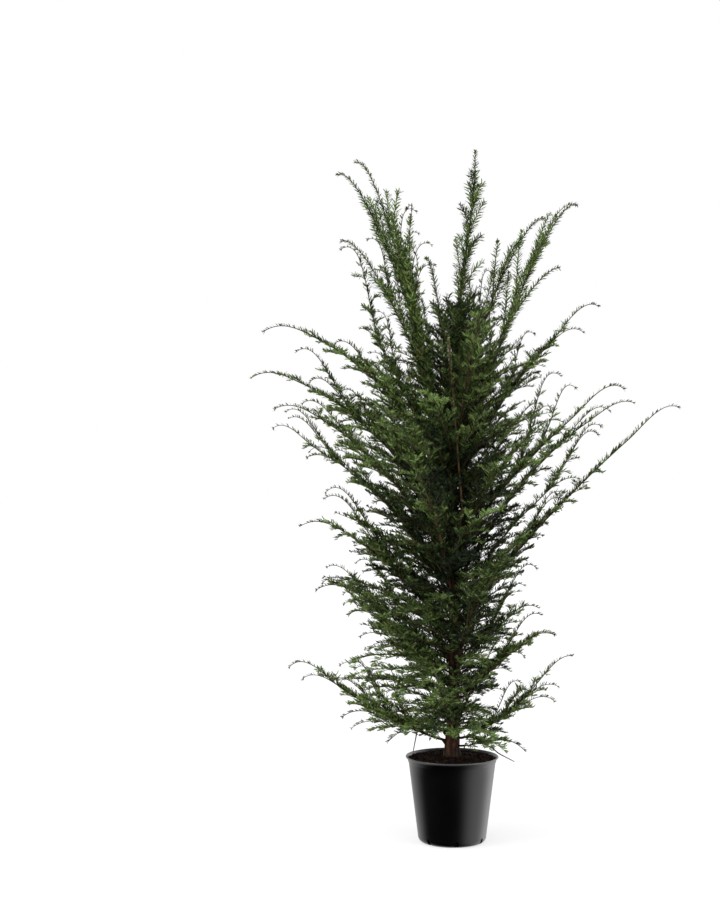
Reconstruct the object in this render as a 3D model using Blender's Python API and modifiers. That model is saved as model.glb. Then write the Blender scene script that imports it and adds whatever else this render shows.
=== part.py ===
"""English yew, about 1.8 m tall, growing in a round black nursery pot.

Metres, +Z up. The origin is the middle of the pot's flat underside, +X is to the right and -Y is the
side that is seen first. One object is made for the pot, the soil, the trunk, each bough and each mass
of foliage. A limb's path and its twigs follow one seeded rule, written in limb_path and twigs_of.
"""

import math
import random
from collections import namedtuple

import bmesh
import bpy
from mathutils import Matrix, Vector

# Pot and soil
POT_HEIGHT = 0.221
POT_RIM_RADIUS = 0.1205
POT_TOP_RADIUS = 0.1145
POT_FOOT_RADIUS = 0.0885
POT_CORNER = 0.012
POT_WALL = 0.0022
POT_FLOOR = 0.003
POT_BAND = 0.014
POT_SIDES = 40
SLOT_COUNT = 7
SLOT_WIDTH = 0.010
SLOT_HEIGHT = 0.016
SLOT_FIRST_ANGLE = math.radians(-85)
SOIL_TOP = 0.222
SOIL_MOUND = 0.0035

# Trunk
TRUNK_TIP_Z = 1.36
TRUNK_RADIUS = 0.018
TRUNK_TIP_RADIUS = 0.0042
FLARE_RADIUS = 0.0035
FLARE_HEIGHT = 0.014
TRUNK_LEAN = 0.018
TRUNK_SWAY = 0.005
TRUNK_STEPS = 16

# Limbs and twigs
GAP = 0.0003
LIMB_TIP_RADIUS = 0.0016
LOWER_EDGE = 0.005
STEM_STEP = 0.08
BOUGH_STEP = 0.04
END_RUN = 0.002
BEND_LENGTH = 0.012
ELBOW_STEPS = 5
LIMB_HANDLE = 0.36
LAST_RISE = 24
STEEP_HANDLE = 0.07
FORK_ANGLE = 46
SPIRAL_ANGLE = math.radians(137.5)
TWIG_SPACING = 0.070
TWIG_LENGTH = 0.215
SHOOT_LENGTH = 0.13
NEEDLE_REACH = 0.032
ROOT_DEPTH = 0.001
SPRAY_THICKNESS = 0.0026
SPRAY_CORE = 0.0015
LONG_SPRAY = 0.12
SPRAY_FITS = (1, 0.75, 0.55, 0.4)
SPACE_MARGIN = 0.004
LIMB_CLEARANCE = 0.004
LINE_STEPS = 14
SEED = 1790

UP = Vector((0, 0, 1))

# A limb leaves the trunk at height base_z towards the bearing leave, and ends reach from the trunk's
# line at the bearing azimuth and height tip_z. Bearings are degrees from +X, anticlockwise from above.
# arch is how many degrees it leans back from its chord at each end, and hook is how far its tip droops.
# bare is the share of its length that is a bare bough, before its foliage begins.
Limb = namedtuple("Limb", "name base_z leave azimuth reach tip_z arch hook bare")
LIMBS = [
    Limb("left_leader", 0.80, 222, 187, 0.254, 1.755, 14, 0.030, 0.30),
    Limb("right_leader", 0.88, 332, 356, 0.322, 1.647, 16, 0.025, 0.28),
    Limb("front_cane", 0.72, 272, 259, 0.087, 1.294, 3, 0.000, 0.78),
    Limb("left_crest", 0.93, 193, 193, 0.496, 1.312, 26, 0.035, 0.24),
    Limb("left_long", 0.81, 171, 171, 0.535, 1.204, 24, 0.035, 0.24),
    Limb("left_middle", 0.72, 204, 204, 0.494, 1.114, 22, 0.030, 0.26),
    Limb("left_sweep", 0.54, 186, 186, 0.396, 0.817, 22, 0.025, 0.26),
    Limb("left_foot", 0.262, 188, 188, 0.425, 0.457, -10, 0.030, 0.34),
    Limb("right_upper", 0.76, 338, 338, 0.452, 1.165, 18, 0.025, 0.24),
    Limb("right_middle", 0.69, 18, 18, 0.528, 1.141, 18, 0.025, 0.26),
    Limb("right_long", 0.575, 357, 357, 0.585, 1.122, 12, 0.020, 0.28),
    Limb("right_waist", 0.62, 22, 22, 0.378, 0.937, 18, 0.015, 0.26),
    Limb("right_foot", 0.268, 354, 354, 0.310, 0.484, -18, 0.000, 0.36),
    Limb("front_middle", 0.61, 254, 250, 0.420, 0.990, 22, 0.025, 0.26),
    Limb("back_middle", 0.64, 92, 92, 0.440, 1.020, 22, 0.030, 0.26),
    Limb("left_spire", 0.99, 160, 172, 0.301, 1.735, 16, 0.030, 0),
    Limb("left_shoulder", 1.02, 182, 174, 0.290, 1.559, 16, 0.025, 0),
    Limb("left_tuft", 0.88, 142, 160, 0.255, 1.336, 10, 0.000, 0),
    Limb("left_waist", 0.65, 157, 157, 0.416, 0.994, 20, 0.025, 0),
    Limb("left_low", 0.45, 164, 164, 0.371, 0.641, 20, 0.020, 0),
    Limb("left_skirt", 0.395, 211, 211, 0.310, 0.604, 18, 0.015, 0),
    Limb("left_heel", 0.282, 150, 156, 0.315, 0.300, 4, 0.010, 0),
    Limb("right_spire", 1.13, 38, 14, 0.253, 1.623, 12, 0.015, 0),
    Limb("right_shoulder", 1.06, 318, 340, 0.284, 1.475, 14, 0.015, 0),
    Limb("right_crest", 0.95, 7, 7, 0.391, 1.390, 18, 0.020, 0),
    Limb("right_bend", 0.56, 320, 320, 0.293, 0.830, 18, 0.015, 0),
    Limb("right_low", 0.46, 27, 27, 0.268, 0.593, 14, 0.010, 0),
    Limb("right_knee", 0.375, 333, 333, 0.283, 0.548, 12, 0.010, 0),
    Limb("right_sprig", 0.248, 348, 348, 0.190, 0.250, 10, 0.006, 0),
    Limb("front_upper", 0.98, 286, 286, 0.270, 1.370, 20, 0.015, 0),
    Limb("front_left", 0.77, 246, 232, 0.390, 1.130, 22, 0.020, 0),
    Limb("front_right", 0.74, 300, 310, 0.390, 1.080, 22, 0.020, 0),
    Limb("front_low", 0.46, 288, 290, 0.380, 0.740, 22, 0.020, 0),
    Limb("front_foot", 0.29, 258, 258, 0.330, 0.470, 10, 0.015, 0),
    Limb("back_shoulder", 1.10, 104, 104, 0.240, 1.540, 12, 0.015, 0),
    Limb("back_upper", 0.92, 80, 80, 0.340, 1.350, 20, 0.025, 0),
    Limb("back_left", 0.80, 132, 132, 0.420, 1.160, 22, 0.020, 0),
    Limb("back_right", 0.76, 50, 50, 0.420, 1.140, 22, 0.020, 0),
    Limb("back_low", 0.45, 116, 116, 0.380, 0.740, 22, 0.020, 0),
    Limb("back_foot", 0.30, 62, 62, 0.340, 0.480, 10, 0.015, 0),
]
LEADER = Limb("leader", TRUNK_TIP_Z, 0, 0, 0.060, 1.787, 0, 0.0, 0)

NEEDLE_GREEN = (0.045, 0.105, 0.030)
BARK_BROWN = (0.105, 0.052, 0.032)
SOIL_BROWN = (0.028, 0.017, 0.012)
POT_BLACK = (0.012, 0.013, 0.014)


def clear_scene():
    for old in list(bpy.data.objects):
        bpy.data.objects.remove(old)


def make_material(name, colour, roughness):
    material = bpy.data.materials.new(name)
    material.use_nodes = True
    shader = material.node_tree.nodes["Principled BSDF"]
    shader.inputs["Base Color"].default_value = (*colour, 1)
    shader.inputs["Roughness"].default_value = roughness
    shader.inputs["Metallic"].default_value = 0
    material.diffuse_color = (*colour, 1)
    return material


def make_collection(name):
    collection = bpy.data.collections.new(name)
    bpy.context.scene.collection.children.link(collection)
    return collection


def evaluated_mesh(obj):
    """The object's mesh with its modifiers or bevel applied, a curve's caps welded on."""
    bpy.context.view_layer.update()
    graph = bpy.context.evaluated_depsgraph_get()
    mesh = bpy.data.meshes.new_from_object(obj.evaluated_get(graph))
    work = bmesh.new()
    work.from_mesh(mesh)
    bmesh.ops.remove_doubles(work, verts=work.verts, dist=1e-6)
    bmesh.ops.recalc_face_normals(work, faces=work.faces)
    work.to_mesh(mesh)
    work.free()
    return mesh


def into_mesh(obj, collection):
    """A mesh object that takes the place, name and material of obj."""
    name = obj.name
    mesh = evaluated_mesh(obj)
    matrix = obj.matrix_world.copy()
    bpy.data.objects.remove(obj)
    made = bpy.data.objects.new(name, mesh)
    made.matrix_world = matrix
    collection.objects.link(made)
    return made


def paint(obj, material, sharp_angle=35):
    obj.data.materials.clear()
    obj.data.materials.append(material)
    obj.data.shade_smooth()
    obj.data.set_sharp_from_angle(angle=math.radians(sharp_angle))


def bearing(degrees):
    angle = math.radians(degrees)
    return Vector((math.cos(angle), math.sin(angle), 0))


# The pot and its soil

def pot_wall_radius(z):
    """Outer radius of the tapered wall at height z."""
    share = (z - POT_CORNER) / (POT_HEIGHT - POT_CORNER)
    return POT_FOOT_RADIUS + (POT_TOP_RADIUS - POT_FOOT_RADIUS) * share


def pot_profile():
    """(radius, height) down the pot's outside, across its foot and up its inside to the lip."""
    lip = POT_WALL
    band_z = POT_HEIGHT - POT_BAND
    outside = [
        (POT_RIM_RADIUS - lip, POT_HEIGHT),
        (POT_RIM_RADIUS, POT_HEIGHT - lip),
        (POT_RIM_RADIUS, POT_HEIGHT - 2 * lip),
        (pot_wall_radius(POT_HEIGHT) + lip, POT_HEIGHT - 3 * lip),
        (pot_wall_radius(band_z) + lip / 2, band_z),
        (pot_wall_radius(band_z), band_z - lip),
    ]
    corner_centre = POT_FOOT_RADIUS - POT_CORNER
    corner = [
        (corner_centre + POT_CORNER * math.cos(a), POT_CORNER - POT_CORNER * math.sin(a))
        for a in (math.radians(step * 30) for step in range(4))
    ]
    inside = [
        (0, POT_FLOOR),
        (corner_centre, POT_FLOOR),
        (POT_FOOT_RADIUS - POT_WALL, POT_CORNER),
        (pot_wall_radius(POT_HEIGHT) - POT_WALL, POT_HEIGHT - 2 * lip),
        (pot_wall_radius(POT_HEIGHT) - POT_WALL + lip, POT_HEIGHT),
    ]
    return outside + corner + [(0, 0)] + inside


def turned_object(name, profile, collection):
    """The profile turned about Z, closed where it ends on the axis or comes back to its first point."""
    mesh = bpy.data.meshes.new(name)
    edges = [(i, i + 1) for i in range(len(profile) - 1)]
    mesh.from_pydata([(r, 0, z) for r, z in profile], edges, [])
    obj = bpy.data.objects.new(name, mesh)
    collection.objects.link(obj)
    screw = obj.modifiers.new("turn", "SCREW")
    screw.steps = POT_SIDES
    screw.render_steps = POT_SIDES
    screw.use_merge_vertices = True
    screw.merge_threshold = 1e-5
    return obj


def make_slot_cutter(collection):
    """Blocks round the foot's corner, one for each drain slot, in one mesh."""
    work = bmesh.new()
    for index in range(SLOT_COUNT):
        angle = SLOT_FIRST_ANGLE + index * math.tau / SLOT_COUNT
        block = bmesh.ops.create_cube(work, size=1)["verts"]
        bmesh.ops.scale(work, vec=(0.030, SLOT_WIDTH, 2 * SLOT_HEIGHT), verts=block)
        bmesh.ops.translate(work, vec=(POT_FOOT_RADIUS, 0, 0), verts=block)
        turn = Matrix.Rotation(angle, 3, "Z")
        bmesh.ops.rotate(work, cent=(0, 0, 0), verts=block, matrix=turn)
    mesh = bpy.data.meshes.new("slot_cutter")
    work.to_mesh(mesh)
    work.free()
    cutter = bpy.data.objects.new("slot_cutter", mesh)
    collection.objects.link(cutter)
    cutter.hide_render = True
    cutter.display_type = "WIRE"
    return cutter


def make_pot(parts, cutters, material):
    profile = pot_profile()
    obj = turned_object("pot", profile + profile[:1], parts)
    cut = obj.modifiers.new("drain_slots", "BOOLEAN")
    cut.operation = "DIFFERENCE"
    cut.object = make_slot_cutter(cutters)
    obj = into_mesh(obj, parts)
    paint(obj, material)


def make_soil(parts, material):
    """The root ball's soil fills the pot to just under its lip, with a low mound at the trunk."""
    inner_foot = POT_FOOT_RADIUS - POT_CORNER
    profile = [
        (0, SOIL_TOP),
        (FLARE_RADIUS + TRUNK_RADIUS + 0.004, SOIL_TOP),
        (POT_FOOT_RADIUS, SOIL_TOP - SOIL_MOUND),
        (pot_wall_radius(SOIL_TOP) - POT_WALL - 0.0012, SOIL_TOP - 2 * SOIL_MOUND),
        (POT_FOOT_RADIUS - POT_WALL - 0.0006, POT_CORNER + 0.001),
        (inner_foot - 0.001, POT_FLOOR + GAP),
        (0, POT_FLOOR + GAP),
    ]
    obj = turned_object("soil", profile, parts)
    obj = into_mesh(obj, parts)
    paint(obj, material)


# Paths of the trunk and the limbs

def trunk_centre(z):
    share = (z - SOIL_TOP) / (TRUNK_TIP_Z - SOIL_TOP)
    x = TRUNK_LEAN * share * share + TRUNK_SWAY * math.sin(math.tau * share)
    y = -TRUNK_SWAY * math.sin(math.pi * share)
    return Vector((x, y, z))


def trunk_radius(z):
    share = (z - SOIL_TOP) / (TRUNK_TIP_Z - SOIL_TOP)
    stem = TRUNK_RADIUS + (TRUNK_TIP_RADIUS - TRUNK_RADIUS) * share
    return stem + FLARE_RADIUS * math.exp(-(z - SOIL_TOP) / FLARE_HEIGHT)


def trunk_direction(z):
    return (trunk_centre(z + 0.01) - trunk_centre(z - 0.01)).normalized()


def bezier(a, b, c, d, t):
    s = 1 - t
    return a * s**3 + b * 3 * s * s * t + c * 3 * s * t * t + d * t**3


def limb_start(limb):
    """Where the limb's lower edge meets the trunk's bark, and the way the limb leaves."""
    along = trunk_direction(limb.base_z)
    out = bearing(limb.leave)
    out = (out - along * out.dot(along)).normalized()
    bark = trunk_radius(limb.base_z - LOWER_EDGE)
    return trunk_centre(limb.base_z) + out * (bark + GAP), out


def limb_path(limb, steps=60):
    """Points close together along the limb's middle, from the trunk's bark to its tip.

    A limb whose tip would still climb steeply bends over near its end instead.
    """
    tip = bearing(limb.azimuth) * limb.reach + UP * limb.tip_z
    start, out = limb_start(limb)
    chord = tip - start
    chord_rise = math.degrees(math.atan2(chord.z, chord.xy.length))
    first_rise = math.radians(min(chord_rise + limb.arch, 85))
    last_rise = math.radians(min(chord_rise - limb.arch, LAST_RISE))
    points = [start]
    elbow_length = 0.006 + 0.012 * first_rise
    for step in range(1, ELBOW_STEPS + 1):
        rise = first_rise * (step - 1) / (ELBOW_STEPS - 1)
        way = out * math.cos(rise) + UP * math.sin(rise)
        points.append(points[-1] + way * (elbow_length / ELBOW_STEPS))
    joint = points[-1]
    outward = Vector((chord.x, chord.y, 0)).normalized()
    handle = (tip - joint).length * LIMB_HANDLE
    last_handle = handle if chord_rise - limb.arch < LAST_RISE else min(handle, STEEP_HANDLE)
    first_way = out * math.cos(first_rise) + UP * math.sin(first_rise)
    last_way = outward * math.cos(last_rise) + UP * math.sin(last_rise)
    raised_tip = tip + UP * limb.hook
    for step in range(1, steps + 1):
        t = step / steps
        point = bezier(
            joint, joint + first_way * handle, raised_tip - last_way * last_handle, raised_tip, t
        )
        droop = max(0, (t - 0.7) / 0.3) ** 2
        points.append(point - UP * limb.hook * droop)
    return points


def leader_path(limb, steps=60):
    """The topmost shoot goes on from the trunk's own tip."""
    start = trunk_centre(limb.base_z)
    way = trunk_direction(limb.base_z)
    start = start + way * GAP
    tip = bearing(limb.azimuth) * limb.reach + UP * limb.tip_z
    handle = (tip - start).length * 0.4
    return [
        bezier(start, start + way * handle, tip - UP * handle, tip, step / steps)
        for step in range(steps + 1)
    ]


def path_length(points):
    return sum((b - a).length for a, b in zip(points, points[1:]))


def at_distance(points, distance):
    """The point this far along the path, and the direction there."""
    left = distance
    for a, b in zip(points, points[1:]):
        step = (b - a).length
        if left <= step:
            return a + (b - a) * (left / step), (b - a).normalized()
        left -= step
    way = (points[-1] - points[-2]).normalized()
    return points[-1].copy(), way


def base_radius(limb, length):
    """A long limb is thick where it leaves, and no limb is over half as thick as the trunk."""
    return min(0.0030 + 0.0065 * length, 0.55 * trunk_radius(limb.base_z))


def limb_radius(limb, length, distance):
    share = min(distance / length, 1)
    first = base_radius(limb, length)
    return LIMB_TIP_RADIUS + (first - LIMB_TIP_RADIUS) * (1 - share) ** 1.2


def ring_distances(first, last, step):
    """Distances of a tube's rings, closer at both ends and where a limb bends up from the trunk."""
    start = [first, first + END_RUN]
    if first == 0:
        start.append(BEND_LENGTH)
    count = max(1, round((last - start[-1]) / step))
    inner = [start[-1] + (last - start[-1]) * i / count for i in range(1, count)]
    return start + inner + [last - END_RUN, last]


# Solids of the trunk, limbs and sprays

def tube(name, points, radii, collection, resolution=2, section=None):
    """A tapering tube along the points, round or with the outline of section, its ends capped."""
    curve = bpy.data.curves.new(name, "CURVE")
    curve.dimensions = "3D"
    curve.use_fill_caps = True
    curve.bevel_depth = 1
    curve.bevel_resolution = resolution
    if section:
        curve.bevel_mode = "OBJECT"
        curve.bevel_object = section
    spline = curve.splines.new("POLY")
    spline.points.add(len(points) - 1)
    for spot, point, radius in zip(spline.points, points, radii):
        spot.co = (*point, 1)
        spot.radius = radius
    obj = bpy.data.objects.new(name, curve)
    collection.objects.link(obj)
    return into_mesh(obj, collection)


def make_twig_section(collection):
    """The three-sided outline of a leafy stem, one metre in radius."""
    curve = bpy.data.curves.new("twig_section", "CURVE")
    curve.dimensions = "2D"
    spline = curve.splines.new("POLY")
    spline.points.add(2)
    spline.use_cyclic_u = True
    for index, spot in enumerate(spline.points):
        angle = math.radians(90 + 120 * index)
        spot.co = (math.cos(angle), math.sin(angle), 0, 1)
    section = bpy.data.objects.new("twig_section", curve)
    collection.objects.link(section)
    section.hide_render = True
    section.display_type = "WIRE"
    return section


def make_trunk(parts, material):
    bottom = SOIL_TOP + GAP
    heights = [bottom, bottom + END_RUN]
    for step in range(1, TRUNK_STEPS + 1):
        heights.append(bottom + (TRUNK_TIP_Z - bottom) * (step / TRUNK_STEPS) ** 1.5)
    points = [trunk_centre(z) for z in heights]
    points[1].x, points[1].y = points[0].x, points[0].y
    obj = tube("trunk", points, [trunk_radius(z) for z in heights], parts, resolution=6)
    paint(obj, material)


def make_bough(limb, points, parts, material):
    """The bare, tapering first part of a limb. Returns how far along it ends."""
    length = path_length(points)
    end = length * limb.bare
    distances = ring_distances(0, end, BOUGH_STEP)
    middles = [at_distance(points, d)[0] for d in distances]
    radii = [limb_radius(limb, length, d) for d in distances]
    obj = tube("bough_" + limb.name, middles, radii, parts, resolution=1)
    paint(obj, material)
    return end


def spray_outline(length, reach):
    """A needle spray's toothed outline, from its root at (0, 0) to its tip, as (along, across)."""
    teeth = 2 if length > LONG_SPRAY else 1
    side = [(0, SPRAY_CORE)]
    for tooth in range(1, teeth + 1):
        along = length * (0.2 + 0.5 * tooth / teeth)
        width = reach * (1.2 - 0.4 * tooth / teeth)
        side.append((along, width))
        side.append((along - 0.05 * length, 0.4 * width))
    tip = [(length, 0)]
    return side + tip + [(along, -across) for along, across in reversed(side)]


def make_spray(name, twig, reach, collection):
    """A flat toothed blade that grows along the twig, its root sunk in the stem."""
    curve = bpy.data.curves.new(name, "CURVE")
    curve.dimensions = "2D"
    curve.fill_mode = "BOTH"
    curve.extrude = SPRAY_THICKNESS / 2
    outline = spray_outline(twig.length + ROOT_DEPTH, reach)
    spline = curve.splines.new("POLY")
    spline.points.add(len(outline) - 1)
    spline.use_cyclic_u = True
    for spot, (u, v) in zip(spline.points, outline):
        spot.co = (u, v, 0, 1)
    obj = bpy.data.objects.new(name, curve)
    matrix = obj.matrix_world.copy()
    root = twig.root - twig.way * ROOT_DEPTH
    normal = twig.way.cross(twig.across)
    for row in range(3):
        matrix[row][0:4] = (twig.way[row], twig.across[row], normal[row], root[row])
    obj.matrix_world = matrix
    collection.objects.link(obj)
    return into_mesh(obj, collection)


# The seeded rule for twigs, and the space that each mass keeps to

Twig = namedtuple("Twig", "root way across length")


def twigs_of(index, limb, stem):
    """Twigs down both sides of a stem in turn, shorter towards its tip, and last its own end shoot."""
    rng = random.Random(SEED + index)
    leafy = path_length(stem)
    count = max(3, round(leafy / TWIG_SPACING))
    for number in range(count):
        share = (number + 0.35 + 0.3 * rng.random()) / count
        point, along = at_distance(stem, leafy * share * 0.88)
        side = along.cross(UP)
        side = side.normalized() if side.length > 0.05 else Vector((1, 0, 0))
        top = side.cross(along).normalized()
        lift = rng.uniform(-0.4, 1.0)
        roll = lift if number % 2 else math.pi - lift
        if limb is LEADER:
            roll = number * SPIRAL_ANGLE
        out = side * math.cos(roll) + top * math.sin(roll)
        fork = math.radians(FORK_ANGLE + rng.uniform(-8, 8))
        way = (along * math.cos(fork) + out * math.sin(fork)).normalized()
        across = (along - way * along.dot(way)).normalized()
        size = TWIG_LENGTH * (1 - 0.68 * share) * rng.uniform(0.75, 1.1)
        size = min(size, 0.5 * leafy)
        yield Twig(point, way, across, size)
    shoot = stem[-1] - stem[-2]
    side = Vector((1, 0, 0)) if limb is LEADER else shoot.cross(UP).normalized()
    yield Twig(stem[-2], shoot.normalized(), side, shoot.length)


def distance_to_line(point, line):
    """How far the point is from the nearest stretch of the line."""
    best = 1e9
    for a, b in zip(line, line[1:]):
        run = b - a
        share = max(0, min(1, (point - a).dot(run) / run.length_squared))
        best = min(best, (point - a - run * share).length)
    return best


def keeps_to_space(twig, reach, own, others, obstacles):
    """True if the spray stays nearer its own stem than any other stem, and clear of every limb."""
    for along in (0.3, 0.5, 0.74, 0.88, 1):
        for across in (-1, 0, 1):
            width = reach * max(0, 1.15 - along) * across * 1.2
            point = twig.root + twig.way * (twig.length * along) + twig.across * width
            if point.z < POT_HEIGHT + 0.01 and point.xy.length < POT_RIM_RADIUS + 0.02:
                return False
            home = distance_to_line(point, own)
            if any(distance_to_line(point, line) < home + SPACE_MARGIN for line in others):
                return False
            for line, radius in obstacles:
                if distance_to_line(point, line) < radius + LIMB_CLEARANCE:
                    return False
    return True


def make_mass(index, limb, points, first, stems, obstacles, parts, section, material):
    """One mass: its stem, and the sprays that keep to its space, joined into one solid."""
    length = path_length(points)
    name = "foliage_" + limb.name
    shoot = min(SHOOT_LENGTH, 0.3 * (length - first))
    distances = ring_distances(first + GAP if first else 0, length - shoot, STEM_STEP)
    middles = [at_distance(points, d)[0] for d in distances]
    radii = [limb_radius(limb, length, d) * 1.15 for d in distances]
    stem = tube(name, middles, radii, parts, section=section)
    sprays = make_collection("sprays")
    others = [line for key, line in stems.items() if key != limb.name]
    for number, twig in enumerate(twigs_of(index, limb, middles + points[-1:])):
        for share in SPRAY_FITS:
            length = twig.length * share
            reach = NEEDLE_REACH * (0.5 + 0.5 * length / TWIG_LENGTH)
            fitted = twig._replace(length=length)
            if keeps_to_space(fitted, reach, stems[limb.name], others, obstacles):
                make_spray(f"spray_{number}", fitted, reach, sprays)
                break
    join = stem.modifiers.new("join_sprays", "BOOLEAN")
    join.operation = "UNION"
    join.operand_type = "COLLECTION"
    join.collection = sprays
    joined = into_mesh(stem, parts)
    for spray in list(sprays.objects):
        bpy.data.objects.remove(spray)
    bpy.data.collections.remove(sprays)
    paint(joined, material)


def line_along(points, first, last, steps):
    """Evenly spaced points between two distances along the path."""
    return [at_distance(points, first + (last - first) * i / steps)[0] for i in range(steps + 1)]


def main():
    clear_scene()
    parts = make_collection("english_yew")
    cutters = make_collection("cutters")
    bark = make_material("bark", BARK_BROWN, 0.8)
    needles = make_material("needles", NEEDLE_GREEN, 0.5)
    make_pot(parts, cutters, make_material("pot_plastic", POT_BLACK, 0.42))
    make_soil(parts, make_material("soil", SOIL_BROWN, 0.95))
    make_trunk(parts, bark)
    section = make_twig_section(cutters)
    paths = {limb.name: limb_path(limb) for limb in LIMBS}
    paths[LEADER.name] = leader_path(LEADER)
    firsts = {name: 0 for name in paths}
    heights = [SOIL_TOP + (TRUNK_TIP_Z - SOIL_TOP) * i / LINE_STEPS for i in range(LINE_STEPS + 1)]
    obstacles = [([trunk_centre(z) for z in heights], TRUNK_RADIUS)]
    for limb in LIMBS:
        if limb.bare:
            points = paths[limb.name]
            end = make_bough(limb, points, parts, bark)
            firsts[limb.name] = end
            obstacles.append((line_along(points, 0, end, 8), base_radius(limb, path_length(points))))
    stems = {
        name: line_along(points, firsts[name], path_length(points), LINE_STEPS)
        for name, points in paths.items()
    }
    for index, limb in enumerate(LIMBS + [LEADER]):
        points = paths[limb.name]
        first = firsts[limb.name]
        make_mass(index, limb, points, first, stems, obstacles, parts, section, needles)


main()
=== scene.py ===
"""English yew in a round black nursery pot, dressed for a plain studio picture.

Metres, +Z up, in the frame of the solids. The limbs follow the same rule as the solids' source: each one
runs from the trunk to its tip, and twigs fork from both its sides in turn. Here the rule goes on to finer
twigs, and every shoot carries needles: in two ranks, or all round it on the shoots at the top.
"""
import math
from collections import namedtuple

import bmesh
import bpy
import numpy as np
from mathutils import Matrix, Vector, noise


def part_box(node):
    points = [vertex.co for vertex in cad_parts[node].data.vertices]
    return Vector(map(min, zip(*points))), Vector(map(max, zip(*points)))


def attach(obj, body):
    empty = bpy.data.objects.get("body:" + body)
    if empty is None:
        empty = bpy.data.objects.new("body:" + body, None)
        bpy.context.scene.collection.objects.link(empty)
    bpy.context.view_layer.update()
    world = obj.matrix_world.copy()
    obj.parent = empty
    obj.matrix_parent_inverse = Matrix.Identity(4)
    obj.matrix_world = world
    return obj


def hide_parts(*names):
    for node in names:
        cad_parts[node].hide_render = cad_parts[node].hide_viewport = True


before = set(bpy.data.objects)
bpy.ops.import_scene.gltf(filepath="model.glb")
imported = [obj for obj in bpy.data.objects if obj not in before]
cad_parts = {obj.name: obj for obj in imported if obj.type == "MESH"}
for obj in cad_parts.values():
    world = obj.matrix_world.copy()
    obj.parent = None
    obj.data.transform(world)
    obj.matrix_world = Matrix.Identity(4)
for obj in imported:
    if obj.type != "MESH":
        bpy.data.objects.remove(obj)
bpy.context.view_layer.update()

# Camera: level, a little above the plant's middle, and left of it
CAMERA_PLACE = (-0.2387, -4.24, 0.997)
CAMERA_LENS = 64.45

# Pot, from the frame's box and the source's sizes
POT_RIM_RADIUS, _, POT_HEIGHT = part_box("pot")[1]
POT_TOP_RADIUS = 0.1145
POT_FOOT_RADIUS = 0.0885
POT_CORNER = 0.015
POT_WALL = 0.0022
POT_FLOOR = 0.003
POT_BAND = 0.014
POT_SIDES = 144
POT_CREASE = math.radians(32)
LIP_RADIUS = 0.0019
# A painted highlight: over the pot's top few millimetres a lighter grey is added to the plastic's colour
LIP_HIGHLIGHT_BAND = 0.004
LIP_HIGHLIGHT_COLOUR = (0.10, 0.10, 0.10)
PLASTIC_STOPS = [(0.35, (0.0004, 0.0004, 0.0005)), (0.75, (0.0014, 0.0014, 0.0014))]
SLOT_COUNT = 7
SLOT_WIDTH = 0.010
SLOT_HEIGHT = 0.018
SLOT_DEPTH = 0.030
SLOT_ROUND = 0.003
SLOT_FIRST_ANGLE = math.radians(-85)

# How far points of the pot's profile lie outside the wall and above a height
BAND_OFFSETS = [(0.0004, -0.0012), (0.0014, 0.0006)]
NECK_OFFSETS = [(0.0014, -0.0066), (0.003, -0.0048)]
INNER_OFFSETS = [(0.0012, -0.0030), (-POT_WALL, -0.008)]

# Soil. Its roughness is the scale, layer and height of each noise in its top.
SOIL_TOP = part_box("soil")[1][2]
SOIL_RADIUS = 0.1112
SOIL_DROP = 0.0075
SOIL_CLEARANCE = 0.0015
SOIL_SIDES = 180
SOIL_ROUGHNESS = [(70, 3.1, 0.0028), (260, 7.7, 0.0012)]
MOUND_RADIUS = 0.09
LITTER_RADII = (0.028, SOIL_RADIUS - 0.004)
CHIP_COUNT = 420
CHIP_SIZES = (0.004, 0.013)
CHIP_FLATNESS = 0.22
CRUMB_COUNT = 2600
CRUMB_SIZES = (0.0012, 0.0035)
CRUMB_FLATNESS = 0.8

# Trunk, with the stubs of dead twigs at its foot
TRUNK_FOOT_Z = 0.222
TRUNK_TIP_Z = 1.36
TRUNK_RADIUS = 0.018
TRUNK_TIP_RADIUS = 0.0042
TRUNK_SIDES = 56
FLARE_RADIUS = 0.0035
FLARE_HEIGHT = 0.014
TRUNK_LEAN = 0.018
TRUNK_SWAY = 0.005
BARK_STEP = 0.004
PLATE_DEPTH = 0.0022
PLATE_SCALE = (90, 26)
GRAIN_SCALE = (500, 150)
RIB_DEPTH = 0.0022
RIB_HEIGHT = 0.06
STUB_COUNT = 11
STUB_RISE = 0.10
STUB_REACH = (0.006, 0.040)
STUB_RADII = (0.0062, 0.0022)

# Limbs. A bow is the length of the last stretch and the height it is raised by.
LOWER_EDGE = 0.005
LIMB_TIP_RADIUS = 0.0010
LIMB_ROOT_RADIUS = 0.0018
LIMB_THICKENING = 0.0034
ELBOW_LENGTH = 0.006
ELBOW_GROWTH = 0.012
ELBOW_STEPS = 5
STEEPEST = 85
LIMB_HANDLE = 0.36
LEADER_HANDLE = 0.4
LAST_RISE = 24
STEEP_HANDLE = 0.07
DROOP_START = 0.7
LIMB_BOW = (0.16, 0.013)
SIDE_BOW = (0.12, 0.007)
BOUGH_STEP = 0.006
OLD_WOOD = 0.62
SPIRAL_ANGLE = math.radians(137.5)
SEED = 1790

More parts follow.
